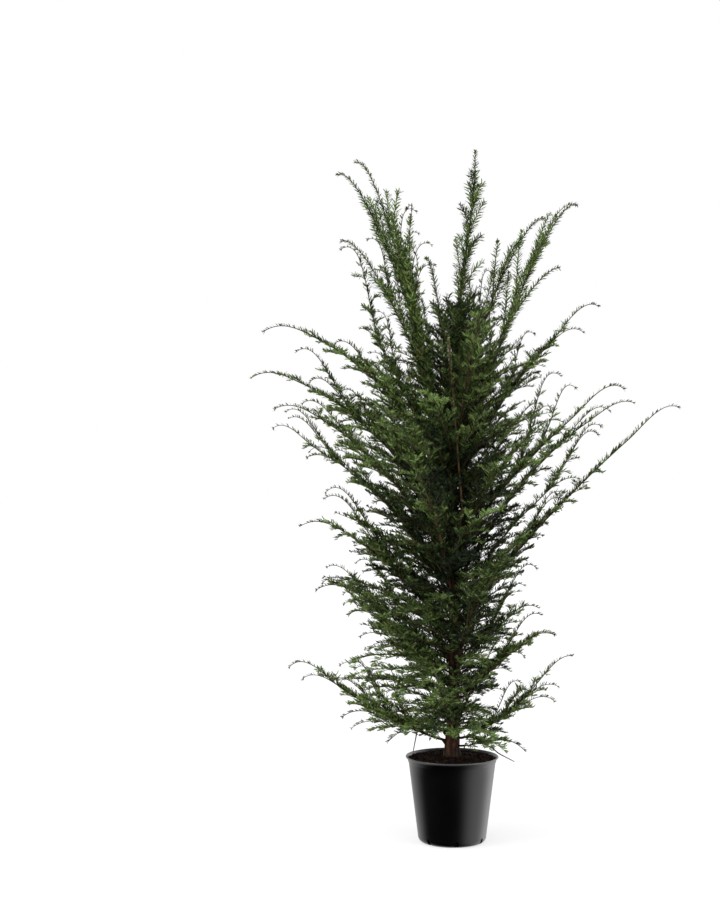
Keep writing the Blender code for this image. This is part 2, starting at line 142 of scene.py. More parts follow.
# Twigs: their length by their distance from the pot's middle line, cut short towards a limb's end
TWIG_SPACING = 0.018
AIRY_SPACING = 0.029
AIRY_LIMBS = ("left_foot", "right_foot", "left_heel", "right_sprig", "front_foot", "back_foot")
TWIG_RADII = [0.02, 0.10, 0.20, 0.30, 0.42, 0.60]
TWIG_LENGTHS = [0.15, 0.205, 0.200, 0.150, 0.085, 0.045]
END_MARKS = [0.05, 0.20, 0.40]
END_SHARES = [0.10, 0.45, 1]
TWIG_FORK = (13, 30)
TWIG_LIFT = (-0.7, 1.3)
TWIG_MIN = 0.014
STEEP_WAY = 0.93
INNER_RADIUS = 0.16
TWIG_ROOT_RADIUS = 0.0008
TWIG_TIP_RADIUS = 0.0006
# A lighter tone, painted light, for the needles on twigs near a limb's end
TWIG_END_LIGHT = 0.3

# Sprigs on the twigs
SPRIG_SPACING = 0.032
SPRIG_FIRST = 0.018
SPRIG_LAST = 0.88
SPRIG_RADII = (0.0008, 0.0005)
SPRIG_FORK = (22, 38)
SPRIG_LIFT = (-0.5, 0.8)
SPRIG_MIN = 0.012
SPRIG_MAX = 0.06

# Plumes: limbs whose tips are above PLUME_Z carry long shoots, from PLUME_FOOT_Z to near their end.
# Beside every limb but the leader, they reach out no further than the limb does, and a margin.
PLUME_Z = 1.45
PLUME_FOOT_Z = 1.30
PLUME_SPACING = 0.019
PLUME_FORK = (11, 24)
PLUME_MAX = 0.20
PLUME_END = 0.19
PLUME_MARGIN = 0.020
LEADER_END = 0.08
# A lighter tone, painted light, for the needles of the plumes
PLUME_LIGHT = 0.25

# Finer arching shoots at the crown's edge
SIDE_LENGTH = 0.20
SIDE_ROOTS = (0.15, 0.9)
SIDE_RISE = (-36, -4)
SIDE_FULL = 0.6
SPARSE_FULL = 0.42

# Shoots straight from the trunk. A lean is how much shorter they are on the right.
CORE_SPACING = 0.0036
CORE_HEIGHTS = [0.285, 0.42, 0.60, 0.80, 0.95, 1.10, 1.25, 1.34]
CORE_LENGTHS = [0.17, 0.23, 0.26, 0.28, 0.28, 0.25, 0.17, 0.08]
CORE_RISES = [8, 20, 32, 44, 50, 54, 64, 74]
CORE_LEAN_HEIGHTS = [0.5, 0.8, 1.1]
CORE_LEANS = [0.35, 0.20, -0.10]
CORE_SPRIG_MAX = 0.08
# A darker tone, painted shade, for the needles of these shoots inside the crown
CORE_LIGHT = -0.22

# The pale cane: how it leaves its limb's path between two heights, and where it then appears in the
# picture, right of the pot's middle
CANE_BARE = 0.78
CANE_FORWARD = 0.03
CANE_START = [0.74, 0.87]
CANE_RADII = (0.0030, 0.0018)
CANE_HEIGHTS = [0.85, 0.99, 1.13, 1.29]
CANE_PLACES = [0.028, 0.016, 0.005, -0.010]

# Windows of the picture that shoots in front leave open: half the width, the depth that is in front,
# and the lowest and highest height
CANE_WINDOW = (0.016, -0.06, 0.87, 1.29)
TRUNK_WINDOW = (0.010, -0.03, 0.41, 0.51)
TRUNK_PLACE = -0.004

# Needles. Long shoots have fewer, steeper and shorter ones near their end, by the distance from it.
NEEDLE_LENGTH = 0.0205
NEEDLE_WIDTH = 0.0027
NEEDLE_SPACING = 0.0023
NEEDLE_TWIST = 0.7
PLUME_CROWDING = 0.65
SHOOT_SHARES = [0, 0.12, 0.75, 1]
SHOOT_SIZES = [0.7, 1, 0.95, 0.6]
ARC_LENGTH = 0.15
ARC_MARKS = [0, 0.12, 0.30]
ARC_SHARES = [0.50, 0.70, 1]
ARC_LIFTS = [30, 22, 0]
ARC_SIZES = [0.60, 0.74, 1]
PLUME_SIZES = [0.75, 0.92, 1]
PIECE_TRIANGLES = 190000

# Tones: each needle's may be one darker or lighter than its spray's, by these chances. A spray's own is
# painted light and shade: it follows its light, which depends on its distance from the trunk and its
# height.
TONE_CHANCES = [0.30, 0.42, 0.28]
TONE_LIMITS = [("deep", 0.40), ("shade", 0.75), ("mid", 1.25), ("lit", math.inf)]
PLAIN_TONES = ("deep", "shade")
FRESH_SHARE = 0.045
LIGHT_RADIUS = 0.18
LIGHT_SPREAD = 0.38
LIGHT_HEIGHTS = [0.25, 0.45, 0.60, 0.85, 1.15, 1.50]
LIGHT_SHIFTS = [0.95, 0.62, 0.12, -0.10, 0.60, 1.05]

# Studio
ROOM_LIGHT = 0.50
BACK_PANEL = 0.9
RIGHT_PANEL = 1.3
FLOOR_GLOW = 0.66

UP = np.array([0.0, 0.0, 1.0])

# A limb leaves the trunk at height base_z towards the bearing leave, and ends reach from the trunk's
# line at the bearing azimuth and height tip_z. Bearings are degrees from +X, anticlockwise from above.
# arch is how many degrees it leans back from its chord at each end, and hook is how far its tip droops.
# full scales the length of its twigs.
Limb = namedtuple("Limb", "name base_z leave azimuth reach tip_z arch hook full")
LIMBS = [
    Limb("left_leader", 0.80, 222, 187, 0.254, 1.755, 14, 0.030, 0.90),
    Limb("right_leader", 0.88, 332, 356, 0.322, 1.647, 16, 0.025, 1.35),
    Limb("front_cane", 0.72, 272, 259, 0.087, 1.294, 3, 0.000, 0.40),
    Limb("left_crest", 0.93, 193, 193, 0.496, 1.312, 26, 0.035, 0.75),
    Limb("left_long", 0.81, 171, 171, 0.535, 1.204, 24, 0.035, 0.85),
    Limb("left_middle", 0.72, 204, 204, 0.494, 1.114, 22, 0.030, 0.90),
    Limb("left_sweep", 0.54, 186, 186, 0.396, 0.817, 22, 0.025, 0.80),
    Limb("left_foot", 0.262, 188, 188, 0.425, 0.457, -10, 0.030, 0.85),
    Limb("right_upper", 0.76, 338, 338, 0.452, 1.165, 18, 0.025, 0.38),
    Limb("right_middle", 0.69, 18, 18, 0.528, 1.141, 18, 0.025, 0.36),
    Limb("right_long", 0.575, 357, 357, 0.585, 1.122, 12, 0.020, 0.34),
    Limb("right_waist", 0.62, 22, 22, 0.378, 0.937, 18, 0.015, 0.45),
    Limb("right_foot", 0.268, 354, 354, 0.310, 0.484, -18, 0.000, 0.75),
    Limb("front_middle", 0.61, 254, 250, 0.420, 0.990, 22, 0.025, 0.85),
    Limb("back_middle", 0.64, 92, 92, 0.440, 1.020, 22, 0.030, 0.90),
    Limb("left_spire", 0.99, 160, 172, 0.301, 1.735, 16, 0.030, 0.80),
    Limb("left_shoulder", 1.02, 182, 174, 0.290, 1.559, 16, 0.025, 1.00),
    Limb("left_tuft", 0.88, 142, 160, 0.255, 1.336, 10, 0.000, 0.95),
    Limb("left_waist", 0.65, 157, 157, 0.416, 0.994, 20, 0.025, 0.80),
    Limb("left_low", 0.45, 164, 164, 0.371, 0.641, 20, 0.020, 1.15),
    Limb("left_skirt", 0.395, 211, 211, 0.310, 0.604, 18, 0.015, 1.10),
    Limb("left_heel", 0.282, 150, 156, 0.315, 0.300, 4, 0.010, 0.80),
    Limb("right_spire", 1.13, 38, 14, 0.253, 1.623, 12, 0.015, 1.05),
    Limb("right_shoulder", 1.06, 318, 340, 0.284, 1.475, 14, 0.015, 1.20),
    Limb("right_crest", 0.95, 7, 7, 0.391, 1.390, 18, 0.020, 0.55),
    Limb("right_bend", 0.56, 320, 320, 0.293, 0.830, 18, 0.015, 0.90),
    Limb("right_low", 0.46, 27, 27, 0.268, 0.593, 14, 0.010, 0.90),
    Limb("right_knee", 0.375, 333, 333, 0.283, 0.548, 12, 0.010, 0.95),
    Limb("right_sprig", 0.248, 348, 348, 0.190, 0.240, 10, 0.006, 0.95),
    Limb("front_upper", 0.98, 286, 286, 0.270, 1.370, 20, 0.015, 0.80),
    Limb("front_left", 0.77, 246, 232, 0.390, 1.130, 22, 0.020, 0.95),
    Limb("front_right", 0.74, 300, 310, 0.390, 1.080, 22, 0.020, 0.55),
    Limb("front_low", 0.46, 288, 290, 0.380, 0.740, 22, 0.020, 0.95),
    Limb("front_foot", 0.29, 258, 258, 0.330, 0.470, 10, 0.015, 0.80),
    Limb("back_shoulder", 1.10, 104, 104, 0.240, 1.540, 12, 0.015, 0.50),
    Limb("back_upper", 0.92, 80, 80, 0.340, 1.350, 20, 0.025, 0.80),
    Limb("back_left", 0.80, 132, 132, 0.420, 1.160, 22, 0.020, 0.95),
    Limb("back_right", 0.76, 50, 50, 0.420, 1.140, 22, 0.020, 0.70),
    Limb("back_low", 0.45, 116, 116, 0.380, 0.740, 22, 0.020, 0.95),
    Limb("back_foot", 0.30, 62, 62, 0.340, 0.480, 10, 0.015, 0.80),
]
LEADER = Limb("leader", TRUNK_TIP_Z, 0, 0, 0.060, 1.787, 0, 0.0, 0.66)

# Tips of the finer arching shoots, as they appear in the picture: metres to the right of the pot's
# middle, and above the ground
SIDE_TIPS = [
    (-0.118, 1.640), (-0.085, 1.575), (-0.118, 1.530), (-0.270, 0.586), (-0.282, 0.640), (-0.235, 0.615),
    (-0.215, 0.500), (-0.190, 0.460), (-0.240, 0.750), (-0.250, 0.720), (-0.205, 0.875), (-0.215, 1.265),
    (-0.245, 1.240), (0.125, 1.390), (0.130, 1.290), (0.110, 1.225), (0.200, 0.385), (0.150, 0.440),
    (-0.291, 1.533), (-0.220, 1.559), (-0.202, 1.370), (-0.405, 1.268), (-0.306, 1.289), (-0.371, 1.188),
    (-0.291, 1.162), (-0.389, 1.134), (-0.431, 1.113), (-0.425, 1.095), (-0.464, 1.071), (-0.371, 1.009),
    (-0.311, 1.009), (-0.329, 0.903), (-0.332, 0.887), (-0.327, 0.708), (-0.337, 0.667), (-0.389, 0.420),
    (-0.306, 0.418), (-0.265, 0.459), (-0.252, 0.444), (-0.239, 0.529), (-0.262, 0.291), (-0.166, 0.257),
    (-0.093, 1.632), (-0.052, 1.546), (-0.044, 1.492), (0.324, 1.647), (0.239, 1.230), (0.106, 1.471),
    (0.215, 1.313), (0.342, 1.318), (0.285, 1.204), (0.322, 1.173), (0.262, 1.123), (0.410, 1.113),
    (0.389, 1.074), (0.379, 1.053), (0.288, 0.903), (0.288, 0.885), (0.236, 0.791), (0.176, 0.724),
    (0.220, 0.706), (0.189, 0.661), (0.233, 0.586), (0.267, 0.534), (0.174, 0.493), (0.189, 0.477),
    (0.278, 0.399), (0.267, 0.361), (0.179, 0.410), (0.137, 0.280),
    (-0.150, 1.420), (-0.120, 1.445), (-0.165, 1.360), (-0.135, 1.350), (-0.105, 1.400), (0.085, 1.430),
    (0.110, 1.370), (0.095, 1.330),
]

# Tips of sprigs round the trunk's foot, and three points of each thin bare twig, placed the same way,
# with their depths
FOOT_DEPTH = -0.075
BARE_DEPTH = -0.03
FOOT_TIPS = [
    (-0.122, 0.280), (-0.083, 0.293), (-0.039, 0.267), (-0.100, 0.312), (-0.048, 0.300),
    (0.073, 0.275), (0.091, 0.296), (-0.130, 0.400), (0.060, 0.236), (-0.060, 0.330),
    (0.100, 0.236), (0.140, 0.230), (-0.150, 0.375), (-0.110, 0.425), (-0.090, 0.400), (-0.032, 0.365),
]
BARE_TWIGS = [
    [(-0.088, 0.292), (-0.093, 0.272), (-0.101, 0.231)],
    [(0.098, 0.246), (0.122, 0.226), (0.161, 0.206)],
    [(0.030, 0.236), (0.036, 0.256), (0.043, 0.243)],
]

# Needle tones, darkest first, as linear base colours; the steps from deep to lit are painted shade and
# painted light
TONES = {
    "deep": (0.0045, 0.0100, 0.0038),
    "shade": (0.014, 0.030, 0.009),
    "mid": (0.044, 0.077, 0.017),
    "lit": (0.112, 0.166, 0.052),
    "fresh": (0.165, 0.270, 0.080),
}

# Bark as dark, light and reddish linear colours, and soil as dark and light ones with their scale
BARKS = {
    "yew_bark": [(0.004, 0.0025, 0.0018), (0.026, 0.013, 0.007), (0.100, 0.038, 0.018)],
    "cane_bark": [(0.022, 0.014, 0.006), (0.085, 0.056, 0.026), (0.120, 0.070, 0.034)],
    "twig_bark": [(0.022, 0.015, 0.008), (0.05, 0.034, 0.015), (0.08, 0.045, 0.020)],
    "green_stem": [(0.026, 0.038, 0.010), (0.045, 0.060, 0.016), (0.060, 0.066, 0.020)],
}
SOILS = {
    "potting_mix": [(0.0008, 0.0006, 0.0005), (0.006, 0.0034, 0.0024), 160],
    "bark_chip": [(0.007, 0.003, 0.002), (0.034, 0.014, 0.008), 90],
    "crumb": [(0.002, 0.0012, 0.001), (0.014, 0.008, 0.005), 120],
}


# Paths, by the source's rule

def unit(vectors):
    """Vectors along the last axis, made one long."""
    size = np.linalg.norm(vectors, axis=-1, keepdims=True)
    return vectors / np.maximum(size, 1e-9)


def bearing(degrees):
    angle = math.radians(degrees)
    return np.array([math.cos(angle), math.sin(angle), 0.0])


def level(vector):
    """The level direction that lies under a sloping one."""
    return unit(vector * np.array([1, 1, 0]))


def sloping(way, rise):
    """The direction that rises by an angle from a level one."""
    return way * math.cos(rise) + UP * math.sin(rise)


def trunk_share(z):
    return (z - TRUNK_FOOT_Z) / (TRUNK_TIP_Z - TRUNK_FOOT_Z)


def trunk_centre(z):
    share = trunk_share(z)
    x = TRUNK_LEAN * share * share + TRUNK_SWAY * math.sin(math.tau * share)
    y = -TRUNK_SWAY * math.sin(math.pi * share)
    return np.array([x, y, z])


def trunk_radius(z):
    stem = TRUNK_RADIUS + (TRUNK_TIP_RADIUS - TRUNK_RADIUS) * trunk_share(z)
    return stem + FLARE_RADIUS * math.exp(-(z - TRUNK_FOOT_Z) / FLARE_HEIGHT)


def trunk_direction(z):
    return unit(trunk_centre(z + 0.01) - trunk_centre(z - 0.01))


def bezier(a, b, c, d, t):
    s = 1 - t
    return a * s**3 + b * 3 * s * s * t + c * 3 * s * t * t + d * t**3


def limb_path(limb, steps=60):
    """Points close together along the limb's middle, from the trunk's bark to its tip."""
    tip = bearing(limb.azimuth) * limb.reach + UP * limb.tip_z
    along = trunk_direction(limb.base_z)
    out = bearing(limb.leave)
    out = unit(out - along * out.dot(along))
    start = trunk_centre(limb.base_z) + out * trunk_radius(limb.base_z - LOWER_EDGE)
    chord = tip - start
    chord_rise = math.degrees(math.atan2(chord[2], math.hypot(chord[0], chord[1])))
    first_rise = math.radians(min(chord_rise + limb.arch, STEEPEST))
    last_rise = math.radians(min(chord_rise - limb.arch, LAST_RISE))
    points = [start]
    elbow_length = ELBOW_LENGTH + ELBOW_GROWTH * first_rise
    for step in range(ELBOW_STEPS):
        way = sloping(out, first_rise * step / (ELBOW_STEPS - 1))
        points.append(points[-1] + way * (elbow_length / ELBOW_STEPS))
    joint = points[-1]
    handle = np.linalg.norm(tip - joint) * LIMB_HANDLE
    end = handle if chord_rise - limb.arch < LAST_RISE else min(handle, STEEP_HANDLE)
    first_way = sloping(out, first_rise)
    last_way = sloping(level(chord), last_rise)
    raised_tip = tip + UP * limb.hook
    for step in range(1, steps + 1):
        t = step / steps
        point = bezier(joint, joint + first_way * handle, raised_tip - last_way * end, raised_tip, t)
        droop = max(0, (t - DROOP_START) / (1 - DROOP_START)) ** 2
        points.append(point - UP * limb.hook * droop)
    return np.array(points)


def leader_path(limb, steps=60):
    """The topmost shoot goes on from the trunk's own tip."""
    start = trunk_centre(limb.base_z)
    way = trunk_direction(limb.base_z)
    tip = bearing(limb.azimuth) * limb.reach + UP * limb.tip_z
    handle = np.linalg.norm(tip - start) * LEADER_HANDLE
    t = np.linspace(0, 1, steps + 1)[:, None]
    return bezier(start, start + way * handle, tip - UP * handle, tip, t)


def bowed(path, length, height):
    """The path with its last stretch raised into a bow of this height, so that the tip hangs."""
    marks = marks_of(path)
    share = np.clip((marks[-1] - marks) / length, 0, 1)
    return path + UP * (height * 27 / 4 * share * (1 - share) ** 2)[:, None]


def cane_across(up):
    """Where the pale cane appears in the picture at a height."""
    return np.interp(up, CANE_HEIGHTS, CANE_PLACES)


def cane_path(path):
    """The front cane's path, moved to where it appears in the picture."""
    share = np.interp(path[:, 2], CANE_START, [0, 1])
    path = path.copy()
    path[:, 1] -= CANE_FORWARD * share
    up = picture_place(path)[:, 1]
    wanted = place_in_picture(cane_across(up), up, path[:, 1])[0]
    path[:, 0] += (wanted - path[:, 0]) * share
    return path


def picture_place(places):
    """Where places appear in the picture, in metres on the plane through the trunk."""
    far = -CAMERA_PLACE[1]
    shrink = far / (far + places[..., 1])
    across = (places[..., 0] - CAMERA_PLACE[0]) * shrink + CAMERA_PLACE[0]
    up = (places[..., 2] - CAMERA_PLACE[2]) * shrink + CAMERA_PLACE[2]
    return np.stack([across, up], -1)


def place_in_picture(across, up, depth):
    """The place at this depth that appears at (across, up) in the picture."""
    grow = (depth - CAMERA_PLACE[1]) / -CAMERA_PLACE[1]
    x = (across - CAMERA_PLACE[0]) * grow + CAMERA_PLACE[0]
    z = (up - CAMERA_PLACE[2]) * grow + CAMERA_PLACE[2]
    return np.array([x, depth, z])


def in_the_way(points):
    """Whether a shoot would hide the pale cane, or the stretch of trunk that shows lower down."""
    across, up = picture_place(points).T
    for middle, window in ((cane_across(up), CANE_WINDOW), (TRUNK_PLACE, TRUNK_WINDOW)):
        half_width, front, low, high = window
        beside = np.abs(across - middle) < half_width
        if np.any(beside & (points[:, 1] < front) & (up > low) & (up < high)):
            return True
    return False


def marks_of(points):
    """Distance along the path at each of its points."""
    steps = np.linalg.norm(np.diff(points, axis=0), axis=1)
    return np.concatenate([[0], np.cumsum(steps)])


def along_path(points, distances):
    """Places at these distances along the path, and the directions there."""
    marks = marks_of(points)
    slopes = np.gradient(points, marks, axis=0)
    places = np.stack([np.interp(distances, marks, column) for column in points.T], axis=-1)
    ways = np.stack([np.interp(distances, marks, column) for column in slopes.T], axis=-1)
    return places, unit(ways)


def side_and_top(ways):
    """A level direction and a rising one, both square to each direction."""
    side = np.cross(ways, UP)
    weak = np.linalg.norm(side, axis=-1, keepdims=True) < 0.05
    side = unit(np.where(weak, np.array([1.0, 0.0, 0.0]), side))
    return side, np.cross(side, ways)


def turned(ways, towards, angle):
    """Directions turned by an angle towards other ones, square to them."""
    return ways * np.cos(angle)[..., None] + towards * np.sin(angle)[..., None]


def forking(ways, sides, tops, roll, fork):
    """Directions that leave ways at the angle fork, with roll saying on which side."""
    return turned(ways, turned(sides, tops, roll), fork)


def forks_along(rng, path, first, last, spacing, jitter, lowest=0):
    """Unevenly spaced places along a path: number, mark, place, way, side and top of each."""
    marks = np.arange(first, last, spacing)
    marks = marks + rng.uniform(-jitter, jitter, len(marks)) * spacing
    marks = np.maximum(marks, lowest)
    places, ways = along_path(path, marks)
    return zip(range(len(marks)), marks, places, ways, *side_and_top(ways))


def limb_radii(limb, length, distances):
    """Radii along a limb. At its root it's no thicker than half the trunk."""
    root = min(LIMB_ROOT_RADIUS + LIMB_THICKENING * length, trunk_radius(limb.base_z) / 2)
    if limb is LEADER:
        root = TRUNK_TIP_RADIUS
    share = np.clip(distances / length, 0, 1)
    return LIMB_TIP_RADIUS + (root - LIMB_TIP_RADIUS) * (1 - share) ** 1.2


def shoot_radii(length, growth, count):
    """Radii of a finer shoot, which is thicker at its root the longer it is."""
    return np.linspace(TWIG_ROOT_RADIUS + growth * length, TWIG_TIP_RADIUS, count)


# Shoots

# leafy is where a shoot's needles begin, and rank is 0 for a limb, 1 for a twig and 2 for a sprig.
# needle scales its needles, spread is their angle to it and lift how far their two ranks rise, both in
# degrees, and spiral lets them stand all round.
Shoot = namedtuple(
    "Shoot", "points radii leafy tone rank needle spread lift spiral", defaults=(1.0, 56, 30, False)
)


def turning_path(root, way, length, last_rise, count, swing=0.0):
    """A shoot that sets out along way and bends over to the slope last_rise, mostly near its tip."""
    first_rise = math.asin(max(-1.0, min(1.0, way[2])))
    heading = math.atan2(way[1], way[0])
    t = (np.arange(count - 1) + 0.5) / (count - 1)
    rise = first_rise + (last_rise - first_rise) * t**2
    turn = heading + swing * t
    steps = np.stack([np.cos(rise) * np.cos(turn), np.cos(rise) * np.sin(turn), np.sin(rise)], -1)
    return np.concatenate([[root], root + np.cumsum(steps * (length / (count - 1)), 0)])


def tone_of(rng, place, bright):
    """The needle tone of one spray, with painted light and shade: dark near the trunk, lighter outside,
    some fresh.
    """
    radius = math.hypot(place[0] - 0.01, 0.45 * place[1])
    light = radius / LIGHT_RADIUS + np.interp(place[2], LIGHT_HEIGHTS, LIGHT_SHIFTS)
    light += bright + rng.normal(0, LIGHT_SPREAD)
    if rng.random() < FRESH_SHARE and radius > 0.06:
        return "fresh"
    return next(name for name, limit in TONE_LIMITS if light < limit)


def grow_sprigs(rng, twig, length, tone, shoots, longest=SPRIG_MAX):
    """Short side shoots on both sides of a twig, in the twig's own flat spray."""
    spacing = SPRIG_SPACING * np.interp(math.hypot(twig[0][0], twig[0][1]), [0.18, 0.26], [1, 1.5])
    forks = forks_along(rng, twig, SPRIG_FIRST, length * SPRIG_LAST, spacing, 0.3)
    for number, mark, place, way, side, top in forks:
        size = (0.016 + 0.42 * length * (1 - mark / length)) * rng.uniform(0.6, 1.15)
        size = min(size, longest)
        if size < SPRIG_MIN:
            continue
        lift = rng.uniform(*SPRIG_LIFT)
        roll = lift if number % 2 else math.pi - lift
        fork = math.radians(rng.uniform(*SPRIG_FORK))
        start = unit(forking(way, side, top, roll, fork))
        points = turning_path(place, start, size, start[2] - 0.5, 4)
        shoots.append(Shoot(points, np.linspace(*SPRIG_RADII, 4), 0.002, tone, 2, 0.92, lift=28))


def grow_twigs(rng, path, first, full, shoots, spacing=TWIG_SPACING):
    """Twigs fork from both sides of a limb in turn, and each grows its own sprigs."""
    length = marks_of(path)[-1]
    forks = forks_along(rng, path, first, length - END_MARKS[0], spacing, 0.35, 0.004)
    for number, mark, place, way, side, top in forks:
        radius = math.hypot(place[0], place[1])
        if rng.random() > np.interp(radius, [0.14, 0.40], [1, 0.50]):
            continue
        size = np.interp(radius, TWIG_RADII, TWIG_LENGTHS) * full * rng.uniform(0.55, 1.15)
        size = size * np.interp(length - mark, END_MARKS, END_SHARES)
        if size < TWIG_MIN:
            continue
        lift = rng.uniform(*TWIG_LIFT)
        roll = lift if number % 2 else math.pi - lift
        if way[2] > STEEP_WAY:
            roll = number * SPIRAL_ANGLE
        fork = math.radians(rng.uniform(*TWIG_FORK) + np.interp(radius, [0.15, 0.25], [0, 8]))
        start = unit(forking(way, side, top, roll, fork))
        if radius < INNER_RADIUS:
            last_rise = math.asin(start[2]) - rng.uniform(0.2, 0.7)
        else:
            last_rise = rng.uniform(-0.55, 0.30)
        points = turning_path(place, start, size, last_rise, 7, rng.uniform(-0.25, 0.25))
        if in_the_way(points):
            continue
        tone = tone_of(rng, points[4], TWIG_END_LIGHT if length - mark < 0.3 else 0)
        shoots.append(Shoot(points, shoot_radii(size, 0.006, 7), 0.004, tone, 1))
        grow_sprigs(rng, points, size, tone, shoots)


def grow_plume(rng, limb, path, first, shoots):
    """Long shoots that keep close beside a top limb, all needles, and curl over at their tips."""
    length = marks_of(path)[-1]
    last = length - (LEADER_END if limb is LEADER else PLUME_END)
    reach = np.hypot(path[:, 0], path[:, 1])
    forks = forks_along(rng, path, first, last, PLUME_SPACING, 0.4, 0.004)
    for number, mark, place, way, side, top in forks:
        size = (0.05 + 0.40 * (length - mark)) * limb.full * rng.uniform(0.6, 1.1)
        size = min(size, PLUME_MAX)
        roll = number * SPIRAL_ANGLE + rng.uniform(-0.4, 0.4)
        fork = math.radians(rng.uniform(*PLUME_FORK))
        start = unit(forking(way, side, top, roll, fork))
        last_rise = math.asin(start[2]) - rng.uniform(0.1, 0.6)
        points = turning_path(place, start, size, last_rise, 9, rng.uniform(-0.2, 0.2))
        x, y, z = points[-1]
        widest = np.interp(z, path[:, 2], reach) + PLUME_MARGIN
        if math.hypot(x, y) > widest and limb is not LEADER:
            continue
        tone = tone_of(rng, points[5], PLUME_LIGHT)
        shoots.append(Shoot(points, shoot_radii(size, 0.005, 9), 0.004, tone, 1, 1.05, 52, 20, True))


def grow_limb(rng, limb, shoots):
    """One limb with its twigs, or with a plume near the crown's top. Returns its path."""
    cane = limb.name == "front_cane"
    plume = limb.tip_z > PLUME_Z
    path = leader_path(limb) if limb is LEADER else limb_path(limb)
    if cane:
        path = cane_path(path)
    if not plume:
        path = bowed(path, *LIMB_BOW)
    marks = marks_of(path)
    length = marks[-1]
    first = length * CANE_BARE if cane else 0.02
    leafy = {"leader": 0.0, "front_cane": first}.get(limb.name, length * 0.25)
    tone = "fresh" if cane else "mid"
    needle = {"leader": 1.15, "right_sprig": 1.3}.get(limb.name, 1.0)
    radii = limb_radii(limb, length, marks)
    shoots.append(Shoot(path, radii, leafy, tone, 0, needle, 50, 40, plume))
    if not plume:
        spacing = AIRY_SPACING if limb.name in AIRY_LIMBS else TWIG_SPACING
        grow_twigs(rng, path, first, limb.full, shoots, spacing)
        return path
    low = sum(path[:, 2] < PLUME_FOOT_Z)
    if low > 2:
        grow_twigs(rng, path[:low], first, limb.full, shoots)
    grow_plume(rng, limb, path, max(first, marks[max(low - 1, 0)]), shoots)
    return path


def side_path(rng, tip, paths):
    """The arching shoot that ends at a side tip, forking from the limb that points at it best."""
    best = None
    for path in paths:
        marks = np.linspace(*SIDE_ROOTS, 40) * marks_of(path)[-1]
        places, ways = along_path(path, marks)
        seen = picture_place(places)
        ahead = picture_place(places + ways * 0.01) - seen
        chord = np.array(tip) - seen
        distance = np.linalg.norm(chord, axis=1)
        turn = np.arccos(np.clip((unit(ahead) * unit(chord)).sum(1), -1, 1))
        cost = turn + np.abs(distance - SIDE_LENGTH) * 1.5
        index = int(np.argmin(cost))
        if best is None or cost[index] < best[0]:
            best = (cost[index], places[index], ways[index], distance[index])
    _, root, way, distance = best
    end = place_in_picture(*tip, root[1] + way[1] * min(distance, 0.15))
    chord = end - root
    last_way = sloping(level(chord), math.radians(rng.uniform(*SIDE_RISE)))
    size = np.linalg.norm(chord)
    steps = np.linspace(0, 1, 24)[:, None]
    path = bezier(root, root + way * (size * 0.4), end - last_way * (size * 0.28), end, steps)
    return bowed(path, *SIDE_BOW)


def grow_side_shoots(rng, paths, shoots):
    """The finer arching shoots, sparser on the right and near the crown's top."""
    for tip in SIDE_TIPS:
        hand = "left" if tip[0] < 0 else "right"
        path = side_path(rng, tip, [path for name, path in paths.items() if name.startswith(hand)])
        radii = np.linspace(0.0010 + 0.0025 * marks_of(path)[-1], 0.0007, len(path))
        shoots.append(Shoot(path, radii, 0.01, "mid", 1, 0.95, 52, 40))
        sparse = tip[0] > 0 or tip[1] > PLUME_Z
        grow_twigs(rng, path, 0.02, SPARSE_FULL if sparse else SIDE_FULL, shoots)


def grow_core(rng, shoots):
    """Shoots straight from the trunk, close together, that arch out and fill the crown's dark heart."""
    for number, z in enumerate(np.arange(CORE_HEIGHTS[0], CORE_HEIGHTS[-1], CORE_SPACING)):
        angle = number * SPIRAL_ANGLE
        rise = math.radians(np.interp(z, CORE_HEIGHTS, CORE_RISES) + rng.uniform(-14, 12))
        way = sloping(bearing(math.degrees(angle)), rise)
        size = np.interp(z, CORE_HEIGHTS, CORE_LENGTHS) * rng.uniform(0.6, 1.15)
        size *= 1 - np.interp(z, CORE_LEAN_HEIGHTS, CORE_LEANS) * math.cos(angle)
        last_rise = max(rise - rng.uniform(0.3, 1.0), -0.4)
        points = turning_path(trunk_centre(z), way, size, last_rise, 10, rng.uniform(-0.3, 0.3))
        if in_the_way(points):
            continue
        tone = tone_of(rng, points[7], CORE_LIGHT)
        shoots.append(Shoot(points, shoot_radii(size, 0.007, 10), 0.03, tone, 1))
        grow_sprigs(rng, points, size, tone, shoots, CORE_SPRIG_MAX)


def grow_foot(rng, shoots):
    """Fresh sprigs that droop round the trunk's foot, and a few twigs without needles."""
    steps = np.linspace(0, 1, 9)
    for across, up in FOOT_TIPS:
        tip = place_in_picture(across, up, FOOT_DEPTH)
        root = trunk_centre(up + 0.035) + np.array([0.3 * across, -0.012, 0])
        middle = (root + tip) / 2 + UP * 0.018
        points = bezier(root, middle, (middle + tip) / 2 + UP * 0.008, tip, steps[:, None])
        tone = "fresh" if rng.random() < 0.45 else "lit"
        shoots.append(Shoot(points, np.linspace(0.0014, 0.0006, 9), 0.02, tone, 1, 0.9, 54, 20))
        grow_sprigs(rng, points, marks_of(points)[-1], tone, shoots)
    for places in BARE_TWIGS:
        points = np.array([place_in_picture(across, up, BARE_DEPTH) for across, up in places])
        points = along_path(points, steps * marks_of(points)[-1])[0]
        shoots.append(Shoot(points, np.linspace(0.0019, 0.0010, 9), math.inf, "mid", 1))


def grow_crown():
    """Every shoot of the crown. Each limb has its own seed, as in the source."""
    shoots = []
    paths = {}
    for index, limb in enumerate(LIMBS + [LEADER]):
        paths[limb.name] = grow_limb(np.random.default_rng(SEED + index), limb, shoots)
    rng = np.random.default_rng(SEED + 100)
    grow_side_shoots(rng, paths, shoots)
    grow_core(rng, shoots)
    grow_foot(rng, shoots)
    return shoots


